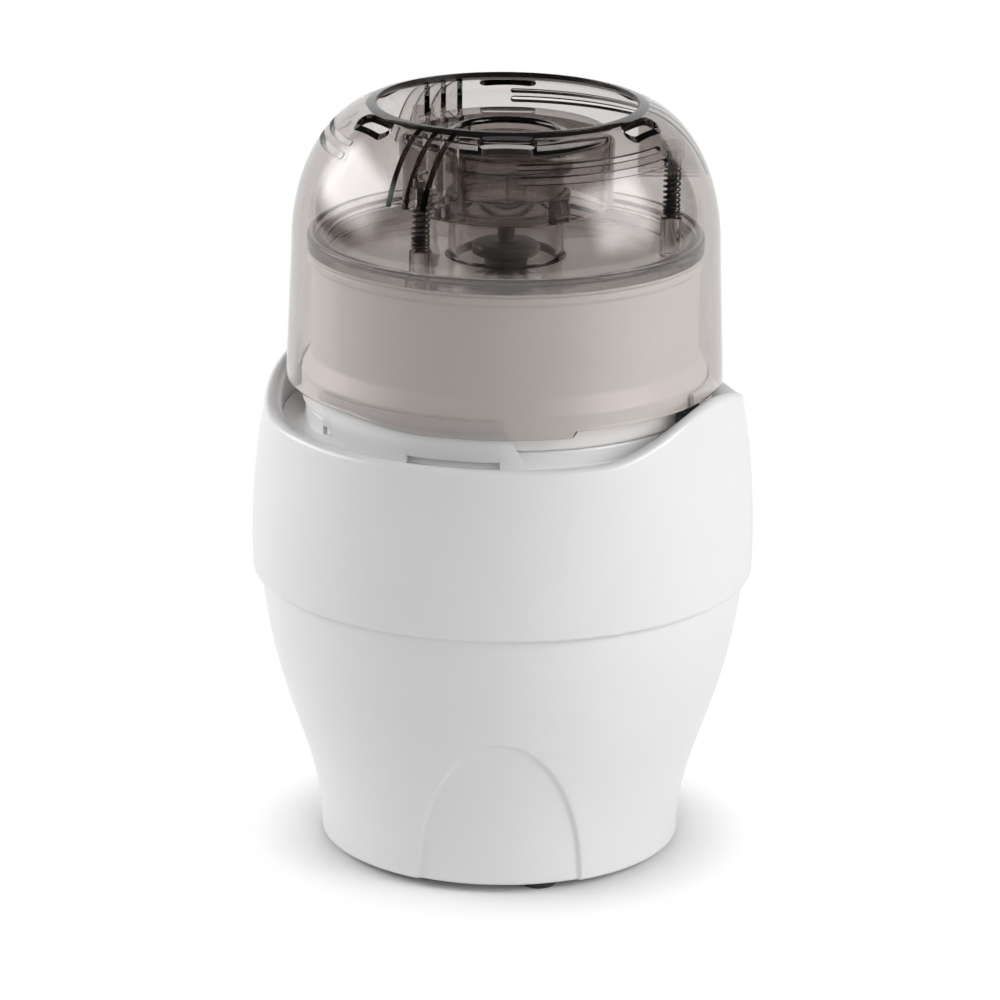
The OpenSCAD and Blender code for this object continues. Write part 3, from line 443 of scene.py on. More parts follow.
def outwards(a, r, z=0.0):
    """Matrix that turns local X outwards along direction a and moves it to radius r."""
    return Matrix.Rotation(a - math.pi / 2, 4, "Z") @ Matrix.Translation((r, 0, z))


# Geometry Nodes trees


class Tree:
    """Builds a Geometry Nodes tree with named inputs."""

    def __init__(self, name):
        self.group = bpy.data.node_groups.new(name, "GeometryNodeTree")
        self.group.interface.new_socket("Geometry", in_out="INPUT", socket_type="NodeSocketGeometry")
        self.group.interface.new_socket("Geometry", in_out="OUTPUT", socket_type="NodeSocketGeometry")
        self.entry = self.group.nodes.new("NodeGroupInput")
        self.exit = self.group.nodes.new("NodeGroupOutput")

    def ask(self, name, kind, default=None):
        """Adds a named input and returns its socket."""
        socket = self.group.interface.new_socket(name, in_out="INPUT", socket_type="NodeSocket" + kind)
        if default is not None:
            socket.default_value = default
        return self.entry.outputs[name]

    def add(self, kind, settings=None, values=None):
        """Adds a node, sets it up and fills or links its sockets."""
        node = self.group.nodes.new(kind)
        for key, value in (settings or {}).items():
            setattr(node, key, value)
        for key, value in (values or {}).items():
            if isinstance(value, bpy.types.NodeSocket):
                self.group.links.new(value, node.inputs[key])
            else:
                node.inputs[key].default_value = value
        return node

    def sum(self, operation, a, b):
        """A Math node."""
        return self.add("ShaderNodeMath", {"operation": operation}, {0: a, 1: b}).outputs[0]

    def close(self, geometry, material):
        """Realizes the instances, sets the material and ends the tree."""
        real = self.add("GeometryNodeRealizeInstances", values={"Geometry": geometry})
        coat = self.add("GeometryNodeSetMaterial", values={"Geometry": real.outputs[0], "Material": material})
        self.group.links.new(coat.outputs[0], self.exit.inputs[0])
        return self.group


def ring_tree():
    """Tree that repeats a mesh at even steps round the axis."""
    tree = Tree("Copies round the axis")
    count = tree.ask("Count", "Int", THIRDS)
    first = tree.ask("First turn", "Float", 0.0)
    material = tree.ask("Material", "Material")
    points = tree.add("GeometryNodeMeshLine", values={"Count": count, "Offset": (0, 0, 0)})
    index = tree.add("GeometryNodeInputIndex").outputs[0]
    step = tree.sum("DIVIDE", math.tau, count)
    angle = tree.sum("ADD", tree.sum("MULTIPLY", index, step), first)
    euler = tree.add("ShaderNodeCombineXYZ", values={"Z": angle}).outputs[0]
    spin = tree.add("FunctionNodeEulerToRotation", values={0: euler}).outputs[0]
    copies = tree.add("GeometryNodeInstanceOnPoints", values={
        "Points": points.outputs[0], "Instance": tree.entry.outputs["Geometry"], "Rotation": spin})
    return tree.close(copies.outputs[0], material)


def coil_tree():
    """Tree that winds a compression spring with ends that draw together."""
    tree = Tree("Coil spring")
    radius = tree.ask("Radius", "Float", 2.4 * MM)
    wire = tree.ask("Wire", "Float", 0.6 * MM)
    turns = tree.ask("Turns", "Float", 10.0)
    low = tree.ask("Bottom", "Float", 0.0)
    top = tree.ask("Top", "Float", 10 * MM)
    closing = tree.ask("Closing", "Float", 0.35)
    material = tree.ask("Material", "Material")
    rings_to_a_turn, sides = 28.0, 8
    rings = tree.sum("MULTIPLY", turns, rings_to_a_turn)
    line = tree.add("GeometryNodeCurvePrimitiveLine")
    path = tree.add("GeometryNodeResampleCurve", values={"Curve": line.outputs[0], "Count": rings})
    share = tree.add("GeometryNodeSplineParameter").outputs["Factor"]
    angle = tree.sum("MULTIPLY", tree.sum("MULTIPLY", share, turns), math.tau)
    swing = tree.sum("SINE", tree.sum("MULTIPLY", share, math.tau), 0.0)
    rise = tree.sum("SUBTRACT", share, tree.sum("MULTIPLY", swing, tree.sum("DIVIDE", closing, math.tau)))
    inner_low = tree.sum("ADD", low, tree.sum("DIVIDE", wire, 2.0))
    height = tree.sum("SUBTRACT", tree.sum("SUBTRACT", top, low), wire)
    z = tree.sum("ADD", inner_low, tree.sum("MULTIPLY", rise, height))
    place = tree.add("ShaderNodeCombineXYZ", values={
        "X": tree.sum("MULTIPLY", radius, tree.sum("COSINE", angle, 0.0)),
        "Y": tree.sum("MULTIPLY", radius, tree.sum("SINE", angle, 0.0)), "Z": z})
    helix = tree.add("GeometryNodeSetPosition", values={
        "Geometry": path.outputs[0], "Position": place.outputs[0]})
    section = tree.add("GeometryNodeCurvePrimitiveCircle", values={
        "Resolution": sides, "Radius": tree.sum("DIVIDE", wire, 2.0)})
    tube = tree.add("GeometryNodeCurveToMesh", values={
        "Curve": helix.outputs[0], "Profile Curve": section.outputs[0], "Fill Caps": True})
    smooth = tree.add("GeometryNodeSetShadeSmooth", values={"Geometry": tube.outputs[0]})
    return tree.close(smooth.outputs[0], material)


def grown(thing, group, values):
    """Runs a tree on an object with the given inputs and keeps the result as a plain mesh."""
    grow = thing.modifiers.new(group.name, "NODES")
    grow.node_group = group
    names = {s.name: s.identifier for s in group.interface.items_tree if s.in_out == "INPUT"}
    for key, value in values.items():
        grow[names[key]] = value
    return baked(thing)


def ringed(thing, count, first=0.0, material=None):
    """Repeats a mesh round the axis."""
    group = bpy.data.node_groups.get("Copies round the axis") or ring_tree()
    return grown(thing, group, {"Count": count, "First turn": first, "Material": material})


# Finishes


class Value:
    """A number on a shader socket, for use in plain expressions."""

    def __init__(self, finish, socket):
        self.finish, self.socket = finish, socket

    def _do(self, operation, a, b):
        return self.finish.add("ShaderNodeMath", {"operation": operation}, {0: a, 1: b})

    def __add__(self, other):
        return self._do("ADD", self, other)

    def __radd__(self, other):
        return self._do("ADD", other, self)

    def __sub__(self, other):
        return self._do("SUBTRACT", self, other)

    def __rsub__(self, other):
        return self._do("SUBTRACT", other, self)

    def __mul__(self, other):
        return self._do("MULTIPLY", self, other)

    def __rmul__(self, other):
        return self._do("MULTIPLY", other, self)


class Finish:
    """The shader nodes of a material, a lamp or the surroundings, built in plain steps."""

    def __init__(self, name, owner=None, end="ShaderNodeOutputMaterial"):
        self.material = owner or bpy.data.materials.new(name + FINISH)
        self.material.use_nodes = True
        self.tree = self.material.node_tree
        self.tree.nodes.clear()
        self.end = self.tree.nodes.new(end)

    def add(self, kind, settings=None, values=None, out=0):
        """Adds a node, sets it up, fills or links its sockets and returns one of its outputs."""
        node = self.tree.nodes.new(kind)
        for key, value in (settings or {}).items():
            setattr(node, key, value)
        for key, value in (values or {}).items():
            if isinstance(value, Value):
                self.tree.links.new(value.socket, node.inputs[key])
            else:
                node.inputs[key].default_value = value
        return Value(self, node.outputs[out])

    def close(self, shader, end="Surface"):
        """Links a shader to the end of the tree."""
        self.tree.links.new(shader.socket, self.end.inputs[end])

    def place(self, scale=(1, 1, 1)):
        """Object coordinates, stretched."""
        where = self.add("ShaderNodeTexCoord", out="Object")
        return self.add("ShaderNodeMapping", values={"Vector": where, "Scale": scale})

    def step(self, value, low, high, last=1.0, kind="LINEAR"):
        """Rises from 0 to last while a value goes from low to high."""
        return self.add("ShaderNodeMapRange", {"interpolation_type": kind}, {
            "Value": value, "From Min": low, "From Max": high, "To Min": 0.0, "To Max": last})

    def shows(self):
        """1 for the rays that show a thing or its mirror image, 0 for those that only light."""
        most = 0.0
        for ray in ("Is Camera Ray", "Is Glossy Ray", "Is Transmission Ray"):
            path = self.add("ShaderNodeLightPath", out=ray)
            most = self.add("ShaderNodeMath", {"operation": "MAXIMUM"}, {0: path, 1: most})
        return most

    def noise(self, scale, detail=2.0, rough=0.5, stretch=(1, 1, 1)):
        """A noise between 0 and 1, with scale in repeats to the metre."""
        return self.add("ShaderNodeTexNoise", values={
            "Vector": self.place(stretch), "Scale": scale, "Detail": detail, "Roughness": rough})

    def mix(self, share, a, b):
        """A colour between two colours."""
        rgba = [c if isinstance(c, Value) else (*c, 1) for c in (a, b)]
        return self.add("ShaderNodeMix", {"data_type": "RGBA"}, {0: share, 6: rgba[0], 7: rgba[1]}, 2)

    def bump(self, height, distance, strength):
        """A normal that is tilted by a height pattern."""
        return self.add("ShaderNodeBump", values={
            "Height": height, "Distance": distance, "Strength": strength})

    def surface(self, values):
        """Ends the material in a Principled shader."""
        self.close(self.add("ShaderNodeBsdfPrincipled", values=values))


def moulded(name, colour, rough, grain, coat=0.0, mottle=0.03, speckle=0.04, milky=0.0):
    """Moulded plastic: a faint mottle, a fine grain and small scuffs that change its gloss."""
    f = Finish(name)
    cloud = f.noise(scale=28, detail=3)
    grit = f.noise(scale=5200, detail=1)
    scuff = f.step(f.noise(scale=420, detail=4, rough=0.65, stretch=(1, 1, 0.25)), 0.56, 0.8)
    dark = tuple(c * (1 - 2 * mottle) for c in colour)
    f.surface({
        "Base Color": f.mix(cloud * 0.5 + grit * speckle, colour, dark),
        "Roughness": rough + (cloud - 0.5) * 0.08 + scuff * 0.1,
        "Specular IOR Level": 0.5,
        "IOR": 1.5,
        "Coat Weight": coat,
        "Coat Roughness": 0.12,
        "Subsurface Weight": milky,
        "Subsurface Radius": (1, 1, 1),
        "Subsurface Scale": 3 * MM,
        "Normal": f.bump(grit, grain * MM, 0.5),
    })


def smoked(name, finish, density):
    """Clear plastic with a smoke tint that deepens with the way that light runs inside it."""
    f = Finish(name)
    haze = f.noise(scale=60, detail=3)
    clear = f.add("ShaderNodeBsdfPrincipled", values={
        "Base Color": WHITE,
        "Roughness": f.step(haze, 0.45, 0.8, 0.03),
        "IOR": 1.53,
        "Transmission Weight": 1.0,
    })
    lamp = f.add("ShaderNodeLightPath", out="Is Shadow Ray")
    through = f.add("ShaderNodeBsdfTransparent", values={"Color": (0.98, 0.98, 0.98, 1)})
    f.close(f.add("ShaderNodeMixShader", values={0: lamp, 1: clear, 2: through}))
    smoke = {"Color": (*finish.smoke, 1), "Density": density}
    f.close(f.add("ShaderNodeVolumeAbsorption", values=smoke), "Volume")


def ground(name, colour, rough, stretch, streaks):
    """Steel with fine grinding lines."""
    f = Finish(name)
    line = f.noise(streaks, 3, 0.6, stretch)
    stain = f.noise(scale=35, detail=3)
    dark = tuple(c * 0.72 for c in colour)
    f.surface({
        "Base Color": f.mix(line * 0.6 + stain * 0.25, colour, dark),
        "Metallic": 1.0,
        "Roughness": rough + (line - 0.5) * 0.22 + (stain - 0.5) * 0.1,
        "Normal": f.bump(line, 0.02 * MM, 0.4),
    })


def banded(name, light, dark, metallic, rough, bands, depth):
    """Stacked sheets or wound wire: narrow even bands."""
    f = Finish(name)
    kind = {"wave_type": "BANDS", "bands_direction": "Z", "wave_profile": "SIN"}
    wave = f.add("ShaderNodeTexWave", kind, {
        "Vector": f.place(), "Scale": bands, "Distortion": 0.6, "Detail": 1.0}, 1)
    stain = f.noise(scale=70, detail=3)
    f.surface({
        "Base Color": f.mix(wave * 0.7 + stain * 0.3, dark, light),
        "Metallic": metallic,
        "Roughness": rough + (stain - 0.5) * 0.15,
        "Normal": f.bump(wave, depth * MM, 0.6),
    })


def make_finishes(finish):
    """One material for each finish of the record, and four more for looks of the same plastics, one of them a
    near-black painted shade for faces of the clear plastic.
    """
    every_way = (1, 1, 1)
    lengthwise = (1, 1, 0.02)
    for name, colour, rough, grain, more in (
            ("housing_white", finish.housing, 0.3, 0.012, {"coat": 0.15}),
            ("plate_grey", (0.68, 0.68, 0.67), 0.42, 0.03, {}),
            ("foot_rubber", finish.rubber, 0.68, 0.05, {"mottle": 0.12}),
            # Painted shade: a near-black colour for faces of the clear plastic that look dark end on
            ("painted_shade_edge", (0.016, 0.012, 0.010), 0.2, 0.004, {"mottle": 0.15}),
            ("hub_grey", (0.09, 0.088, 0.086), 0.4, 0.03, {"mottle": 0.15}),
            ("bowl_white", finish.bowl, 0.36, 0.012, {"milky": 1.0}),
            ("black_plastic", finish.black, 0.4, 0.03, {"mottle": 0.15}),
            ("carbon", (0.03, 0.03, 0.032), 0.55, 0.06, {"mottle": 0.2}),
            ("brush_resin", (0.20, 0.09, 0.04), 0.4, 0.03, {"mottle": 0.1}),
            ("silicone", (0.76, 0.76, 0.75), 0.55, 0.02, {}),
            ("seal_rubber", finish.rubber, 0.5, 0.03, {"mottle": 0.12}),
            ("fan_plastic", (0.74, 0.74, 0.71), 0.4, 0.02, {})):
        moulded(name, tuple(colour), rough, grain, **more)
    for name, density in (("smoke_clear", finish.smoke_density), ("smoke_thin", finish.lid_density),
                          ("smoke_deep", finish.deep_density)):
        smoked(name, finish, density)
    for name, colour, rough, stretch, streaks in (
            ("blade_steel", finish.steel, 0.24, lengthwise, 900),
            ("spring_steel", finish.spring, 0.3, every_way, 1600),
            ("zinc_steel", (0.6, 0.61, 0.63), 0.34, every_way, 500),
            ("bearing_bronze", (0.62, 0.42, 0.20), 0.4, every_way, 700),
            ("die_cast", (0.58, 0.59, 0.60), 0.5, every_way, 260)):
        ground(name, tuple(colour), rough, stretch, streaks)
    banded("lamination", (0.40, 0.41, 0.43), (0.20, 0.20, 0.22), 0.9, 0.42, 300, 0.06)
    banded("copper_wire", (0.72, 0.34, 0.15), (0.36, 0.13, 0.05), 0.8, 0.34, 220, 0.2)


def finish_of(slot):
    """The material that was made for a slot of the record."""
    return bpy.data.materials[slot + FINISH]


def dress(thing, slot, body, *nodes, look=None):
    """Gives a finished piece its material, its body and the CAD nodes that it stands for."""
    thing.data.materials.clear()
    thing.data.materials.append(finish_of(look or slot))
    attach(thing, body)
    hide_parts(*nodes)


def paint_shade(thing, chosen):
    """Paints chosen faces near black: painted shade that stands in for the dark look of tinted plastic seen
    end on.
    """
    thing.data.materials.append(finish_of("painted_shade_edge"))
    for face in thing.data.polygons:
        if chosen(face):
            face.material_index = 1


# Curves that the shells follow


def barrel(base, z):
    """Radius of the upper shell at a height."""
    rise, swell = base.rim - base.widest, base.barrel_r - base.rim_r
    bow = (rise * rise + swell * swell) / (2 * swell)
    return base.barrel_r - bow + math.sqrt(bow * bow - (z - base.widest) ** 2)


def flare(base, t):
    """(radius, height) of the lower shell's outer face, from its lower edge to the seam."""
    seam_r = barrel(base, base.seam) - base.seam_step
    low_pull, high_pull, high_in = 29.5 * MM, 42.9 * MM, 4.2 * MM
    points = ((base.low_r, base.low), (base.low_r, base.low + low_pull),
              (seam_r - high_in, base.seam - high_pull), (seam_r, base.seam))
    weights = ((1 - t) ** 3, 3 * t * (1 - t) ** 2, 3 * t * t * (1 - t), t ** 3)
    return tuple(sum(w * p[i] for w, p in zip(weights, points)) for i in (0, 1))


def ease(t):
    """Smooth step from 0 to 1."""
    t = min(max(t, 0.0), 1.0)
    return t * t * (3 - 2 * t)


def rim_height(base, a):
    """Height of the collar's rim at a direction: two wings, half a turn apart."""
    starts, full, ends = 22, 62, 108
    p = math.degrees(a) % 180
    if p < full:
        share = ease((p - starts) / (full - starts))
    else:
        share = 1 - ease((p - full) / (ends - full))
    return base.rim + base.wing * share


class CHOPPER_OT_housing(bpy.types.Operator):
    """Makes the two white shells of the motor base"""

    bl_idname = "chopper.housing"
    bl_label = "Motor housing"

    def lower(self, base):
        """Lower shell: a flared tube with a soft arched recess in its front."""
        fine, fine_steps, coarse_steps = math.radians(34), 68, 96
        angles = [fine * i / fine_steps for i in range(-fine_steps, fine_steps)]
        angles += [fine + (math.tau - 2 * fine) * i / coarse_steps for i in range(coarse_steps)]
        rows, inner_rows = 150, 12
        round_low = 0.8 * MM
        tiny = 1e-6

        def recess(a, r, z):
            """Depth of the arched recess at a point of the outer face."""
            x, y = r * math.sin(a), z - base.low
            if math.cos(a) < 0:
                return 0.0
            k = math.hypot(x / (base.arch_w / 2), y / base.arch_h)
            slope = math.hypot(x / (base.arch_w / 2) ** 2, y / base.arch_h ** 2) / max(k, tiny)
            inside = (1 - k) / max(slope, tiny)
            return base.arch_depth * ease(inside / base.arch_edge + 0.5)

        sections = []
        for a in angles:
            outer = []
            for i in range(rows + 1):
                r, z = flare(base, i / rows)
                outer.append((r - recess(a, r, z), z))
            low_r = outer[0][0]
            foot = [(low_r - round_low * (1 - math.sin(t)), base.low + round_low * (1 - math.cos(t)))
                    for t in quarter(4)[:-1]]
            skirt = [p for p in outer if p[1] > base.low + round_low]
            inside = [flare(base, i / inner_rows) for i in range(inner_rows, -1, -1)]
            inner = [(r - base.wall, z) for r, z in inside]
            sections.append([polar(a, r, z) for r, z in foot + skirt + inner])
        return loft("lower_shell", sections)

    def upper(self, base):
        """Upper shell: a barrel whose rim rises in two wings."""
        steps, rows, turns, inner_rows = 360, 24, 8, 8
        seam_round, rim_round, rim_fall = 1.6 * MM, 2 * MM, 2 * MM
        ridge_in, ledge_w = 0.2 * MM, 2.2 * MM
        spigot = barrel(base, base.seam) - base.seam_step - base.wall
        ledge = base.groove - 2.3 * MM
        inner_top, inner_low = ledge - 4 * MM, base.seam + base.wall
        lining = [inner_top - (inner_top - inner_low) * i / inner_rows for i in range(inner_rows + 1)]
        sections = []
        for s in range(steps):
            a = math.tau * s / steps
            top = rim_height(base, a)
            z0, z1 = base.seam + seam_round, top - rim_round
            low_r, top_r = barrel(base, z0) - seam_round, barrel(base, z1) - rim_round
            ridge = top_r - ridge_in - base.collar_r
            outline = [(spigot, base.seam)]
            outline += [(low_r + seam_round * math.sin(t), base.seam + seam_round * (1 - math.cos(t)))
                        for t in quarter(turns)]
            outline += [(barrel(base, z), z) for z in (z0 + (z1 - z0) * i / rows for i in range(1, rows + 1))]
            outline += [(top_r + rim_round * math.cos(t), top - rim_round * (1 - math.sin(t)))
                        for t in quarter(turns, 1)]
            outline += [(base.collar_r + ridge * (1 - math.sin(t)), top - rim_fall * (1 - math.cos(t)))
                        for t in quarter(turns)]
            outline += [(base.collar_r, ledge), (base.collar_r + ledge_w, ledge)]
            outline += [(barrel(base, z) - base.wall, z) for z in lining]
            outline.append((spigot, inner_low))
            sections.append([polar(a, r, z) for r, z in outline])
        return loft("upper_shell", sections, sharp=50)

    def execute(self, context):
        base = context.scene.chopper_base
        dress(self.lower(base), "housing_white", "base", "lower_housing")
        dress(self.upper(base), "housing_white", "base", "upper_housing")
        return {"FINISHED"}


class CHOPPER_OT_deck(bpy.types.Operator):
    """Makes the deck inside the collar with its guide walls, the feet and the switch slider"""

    bl_idname = "chopper.deck"
    bl_label = "Deck, feet and slider"

    def guides(self, base, deck):
        """Thin walls that stand in the groove, with a leaning end, a pocket and a notch."""
        sink, far, above, ease_r = 1 * MM, 20 * MM, 5 * MM, 3 * MM
        spare = math.radians(4)
        mid, thick = (deck.guide_in + deck.guide_out) / 2, deck.guide_out - deck.guide_in
        outline = band(deck.guide_in, deck.guide_out, base.groove - sink, deck.guide_top)
        wall = revolve("guide_wall", outline, 140, deck.guide_from, deck.guide_to + spare - deck.guide_from)
        # Outline of what the leaning end loses, seen from outside: along the slope, over a rounded corner
        height, lean = deck.guide_top - base.groove, math.tan(deck.guide_lean)
        foot_x, head_x, under = sink * lean, -height * lean, -sink * 1.5
        cut = fillet([
            (foot_x, under, 0), (head_x, height, ease_r), (head_x - far, height, 0),
            (head_x - far, height + above, 0), (far, height + above, 0), (far, under, 0)], 8)
        at = outwards(deck.guide_to, mid, base.groove)
        sides = [[at @ Vector((s * 4 * thick, x, z)) for x, z in cut] for s in (-1, 1)]
        combine(wall, loft("lean", sides, False), "DIFFERENCE")
        pocket, notch = (-27, -1, -2 * sink, 2.9 * MM), (-58.5, -54.5, 2.2 * MM, 4.7 * MM)
        for a0, a1, z0, z1 in (pocket, notch):
            outline = band(deck.guide_in - sink, deck.guide_out + sink, base.groove + z0, base.groove + z1)
            hole = revolve("hole", outline, 24, math.radians(a0), math.radians(a1 - a0))
            combine(wall, hole, "DIFFERENCE")
        eased(wall, 0.22 * MM)
        return ringed(wall, THIRDS, 0.0, finish_of("housing_white"))

    def floor(self, base, deck):
        """Deck plate: the bowl's seat, the groove and the flange under the collar."""
        g, t = base.groove, 2.5 * MM
        bore, sleeve, sleeve_low = 9 * MM, 12 * MM, deck.seat - 7 * MM
        inner, outer = base.collar_r - 0.2 * MM, base.collar_r + 2 * MM
        turret_in, soft = deck.turret_r - t, 0.5 * MM
        outline = fillet([
            (bore, deck.seat, soft), (deck.turret_r, deck.seat, 1.2 * MM), (deck.turret_r, g, 0.8 * MM),
            (inner, g, 0.3 * MM), (inner, g - t, 0), (outer, g - t, 0), (outer, g - 2 * t, 0),
            (turret_in, g - 2 * t, 0), (turret_in, deck.seat - t, 0), (sleeve, deck.seat - t, 0),
            (sleeve, sleeve_low, soft), (bore, sleeve_low, soft)])
        plate = revolve("deck_plate", outline, 240)
        slack, gap = 0.4 * MM, math.radians(0.5)
        outline = band(deck.slider_in - slack, deck.slider_out + slack, g - 9 * MM, g + 1 * MM)
        half = deck.slider_half + gap
        return combine(plate, revolve("slot", outline, 16, deck.slider_at - half, 2 * half), "DIFFERENCE")

    def foot(self):
        """One rubber foot, on its own spot."""
        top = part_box("feet")[1].z
        reach, at = 45.5 * MM, math.radians(15)
        r, neck, pad, barb = 5.5 * MM, 2.4 * MM, 4 * MM, 6.7 * MM
        outline = fillet([
            (0, 0, 0), (r - 0.6 * MM, 0, 0.5 * MM), (r, 1 * MM, 0.6 * MM), (r, pad, 0.4 * MM),
            (neck, pad, 0), (neck, barb, 0), (neck + 0.6 * MM, barb, 0.1 * MM),
            (neck + 0.4 * MM, top, 0.2 * MM), (0, top, 0)])
        return placed(revolve("foot", outline, 48), outwards(at, reach))

    def slider(self, deck):
        """Black slider that the dome's edge pushes down, on its stem."""
        outline = band(deck.slider_in, deck.slider_out, deck.slider_low, deck.slider_top)
        first = deck.slider_at - deck.slider_half
        body = revolve("switch_slider_body", outline, 16, first, 2 * deck.slider_half)
        eased(body, 0.4 * MM, 3)
        stem_r, stem_low, stem_top = 1.5 * MM, 110.5 * MM, deck.slider_low + 0.5 * MM
        stem = revolve("stem", fillet([
            (0, stem_low, 0), (stem_r, stem_low, 0.3 * MM), (stem_r, stem_top, 0), (0, stem_top, 0)]), 24)
        placed(stem, outwards(deck.slider_at, (deck.slider_in + deck.slider_out) / 2))
        return combine(body, stem, "UNION")

    def execute(self, context):
        base, deck = context.scene.chopper_base, context.scene.chopper_deck
        walls, plate = self.guides(base, deck), self.floor(base, deck)
        whole = joined("deck_body", [plate, walls])
        dress(whole, "housing_white", "base", "deck")
        feet = ringed(self.foot(), 4, 0.0, finish_of("foot_rubber"))
        feet.name = "rubber_feet"
        dress(feet, "foot_rubber", "base", "feet")
        dress(self.slider(deck), "black_plastic", "slider", "switch_slider")
        return {"FINISHED"}


class CHOPPER_OT_bowl(bpy.types.Operator):
    """Makes the white bowl"""

    bl_idname = "chopper.bowl"
    bl_label = "Bowl"

    def execute(self, context):
        bowl = context.scene.chopper_bowl
        inner = bowl.radius - bowl.wall
        floor = bowl.low + bowl.wall
        bead = 1 * MM
        bead_r, foot_top = bowl.radius + bead, bowl.low + bowl.foot_h
        flare_top = foot_top + 4.9 * MM
        outline = fillet([
            (bowl.tube_in, bowl.low, 0.4 * MM), (bowl.foot_r, bowl.low, 0.8 * MM),
            (bowl.foot_r, foot_top, 2 * MM), (bowl.radius, flare_top, 3 * MM),
            (bowl.radius, bowl.rim - 3 * bead, 0.6 * MM), (bead_r, bowl.rim - 2 * bead, 0.5 * MM),
            (bead_r, bowl.rim, 0.5 * MM), (inner, bowl.rim, 0.5 * MM), (inner, floor, 4 * MM),
            (bowl.tube_out, floor, 1.5 * MM), (bowl.tube_out, bowl.tube_top, 0.4 * MM),
            (bowl.tube_in, bowl.tube_top, 0.4 * MM)], 8)
        dress(revolve("bowl_shell", outline, 240), "bowl_white", "bowl", "bowl")
        return {"FINISHED"}


class CHOPPER_OT_blade(bpy.types.Operator):
    """Makes the blades with their ground edges, and the hub that carries them"""

    bl_idname = "chopper.blade"
    bl_label = "Blade"

    def wing(self, bowl, z, heading):
        """One swept wing of a blade, thinned to an edge along its leading side."""
        steps = 40
        root_w, tip_w, tip_gap = 8.5 * MM, 2.5 * MM, 0.3 * MM
        edge_t, soft, ground_share = 0.12 * MM, 0.15 * MM, 0.42
        start, end = bowl.hub_r + 1 * MM, bowl.blade_r - tip_gap
        top, low = z + bowl.blade_t, z
        sections = []
        for t in (i / steps for i in range(steps + 1)):
            r = start + (end - start) * t
            a = bowl.blade_sweep * t * t + heading
            w = root_w + (tip_w - root_w) * t
            back, front = -w / 2, w / 2
            along = Vector((math.cos(a), math.sin(a), 0))
            across = Vector((-math.sin(a), math.cos(a), 0))
            rows = ((back, low + soft), (back + soft, low), (front, low), (front, low + edge_t),
                    (front - ground_share * w, top), (back + soft, top), (back, top - soft))
            sections.append([r * along + s * across + Vector((0, 0, h)) for s, h in rows])
        return loft("wing", sections, False, CREASE)

    def blade(self, bowl, name, z, heading):
        """A whole blade: a ring on the hub and two wings."""
        ring_in, ring_r = bowl.hub_r + 0.05 * MM, bowl.hub_r + 4 * MM
        top, soft, past = z + bowl.blade_t, 0.15 * MM, 1 * MM
        ring = revolve(name, fillet([
            (ring_in, z, 0), (ring_r, z, soft), (ring_r, top, soft), (ring_in, top, 0)], 3), 72)
        for half in (0, math.pi):
            combine(ring, self.wing(bowl, z, heading + half), "UNION")
        combine(ring, revolve("bore", band(0, ring_in, z - past, z + 4 * past), 72), "DIFFERENCE")
        ring.data.set_sharp_from_angle(angle=math.radians(CREASE))
        return ring

    def hub(self, bowl):
        """Hub with a flange below and the head that turns in the lid's neck."""
        r, bore = bowl.hub_r, bowl.tube_out + 0.4 * MM
        neck, post, socket = r / 2, 2.6 * MM, 7.2 * MM
        flange_r, flange_top = r + 3 * MM, bowl.hub_low + 2.5 * MM
        head_low, head_top, top = bowl.head - 0.5 * MM, bowl.head + 3 * MM, bowl.head + 8 * MM
        socket_low, socket_top = bowl.tube_top + 0.4 * MM, bowl.tube_top + 10.3 * MM
        outline = fillet([
            (bore, bowl.hub_low, 0.3 * MM), (flange_r, bowl.hub_low, 0.5 * MM),
            (flange_r, flange_top, 0.4 * MM), (r, flange_top, 0),
            (r, bowl.hub_top, 2.4 * MM), (neck, bowl.hub_top, 1.2 * MM), (neck, head_low, 1 * MM),
            (bowl.head_r, head_low, 0.6 * MM), (bowl.head_r, head_top, 1.2 * MM),
            (post, head_top, 1 * MM), (post, top, 1 * MM), (0, top, 0),
            (0, socket_top, 0), (socket, socket_top, 0), (socket, socket_low, 0), (bore, socket_low, 0)])
        return revolve("hub_body", outline, 96)

    def execute(self, context):
        bowl = context.scene.chopper_bowl
        first = math.radians(20)
        for name, node, z, heading in (("blade_low", "lower_blade", bowl.blade_low, first),
                                       ("blade_high", "upper_blade", bowl.blade_high, first + math.pi / 2)):
            dress(self.blade(bowl, name, z, heading), "blade_steel", "blade", node)
        dress(self.hub(bowl), "black_plastic", "blade", "blade_hub", look="hub_grey")
        return {"FINISHED"}


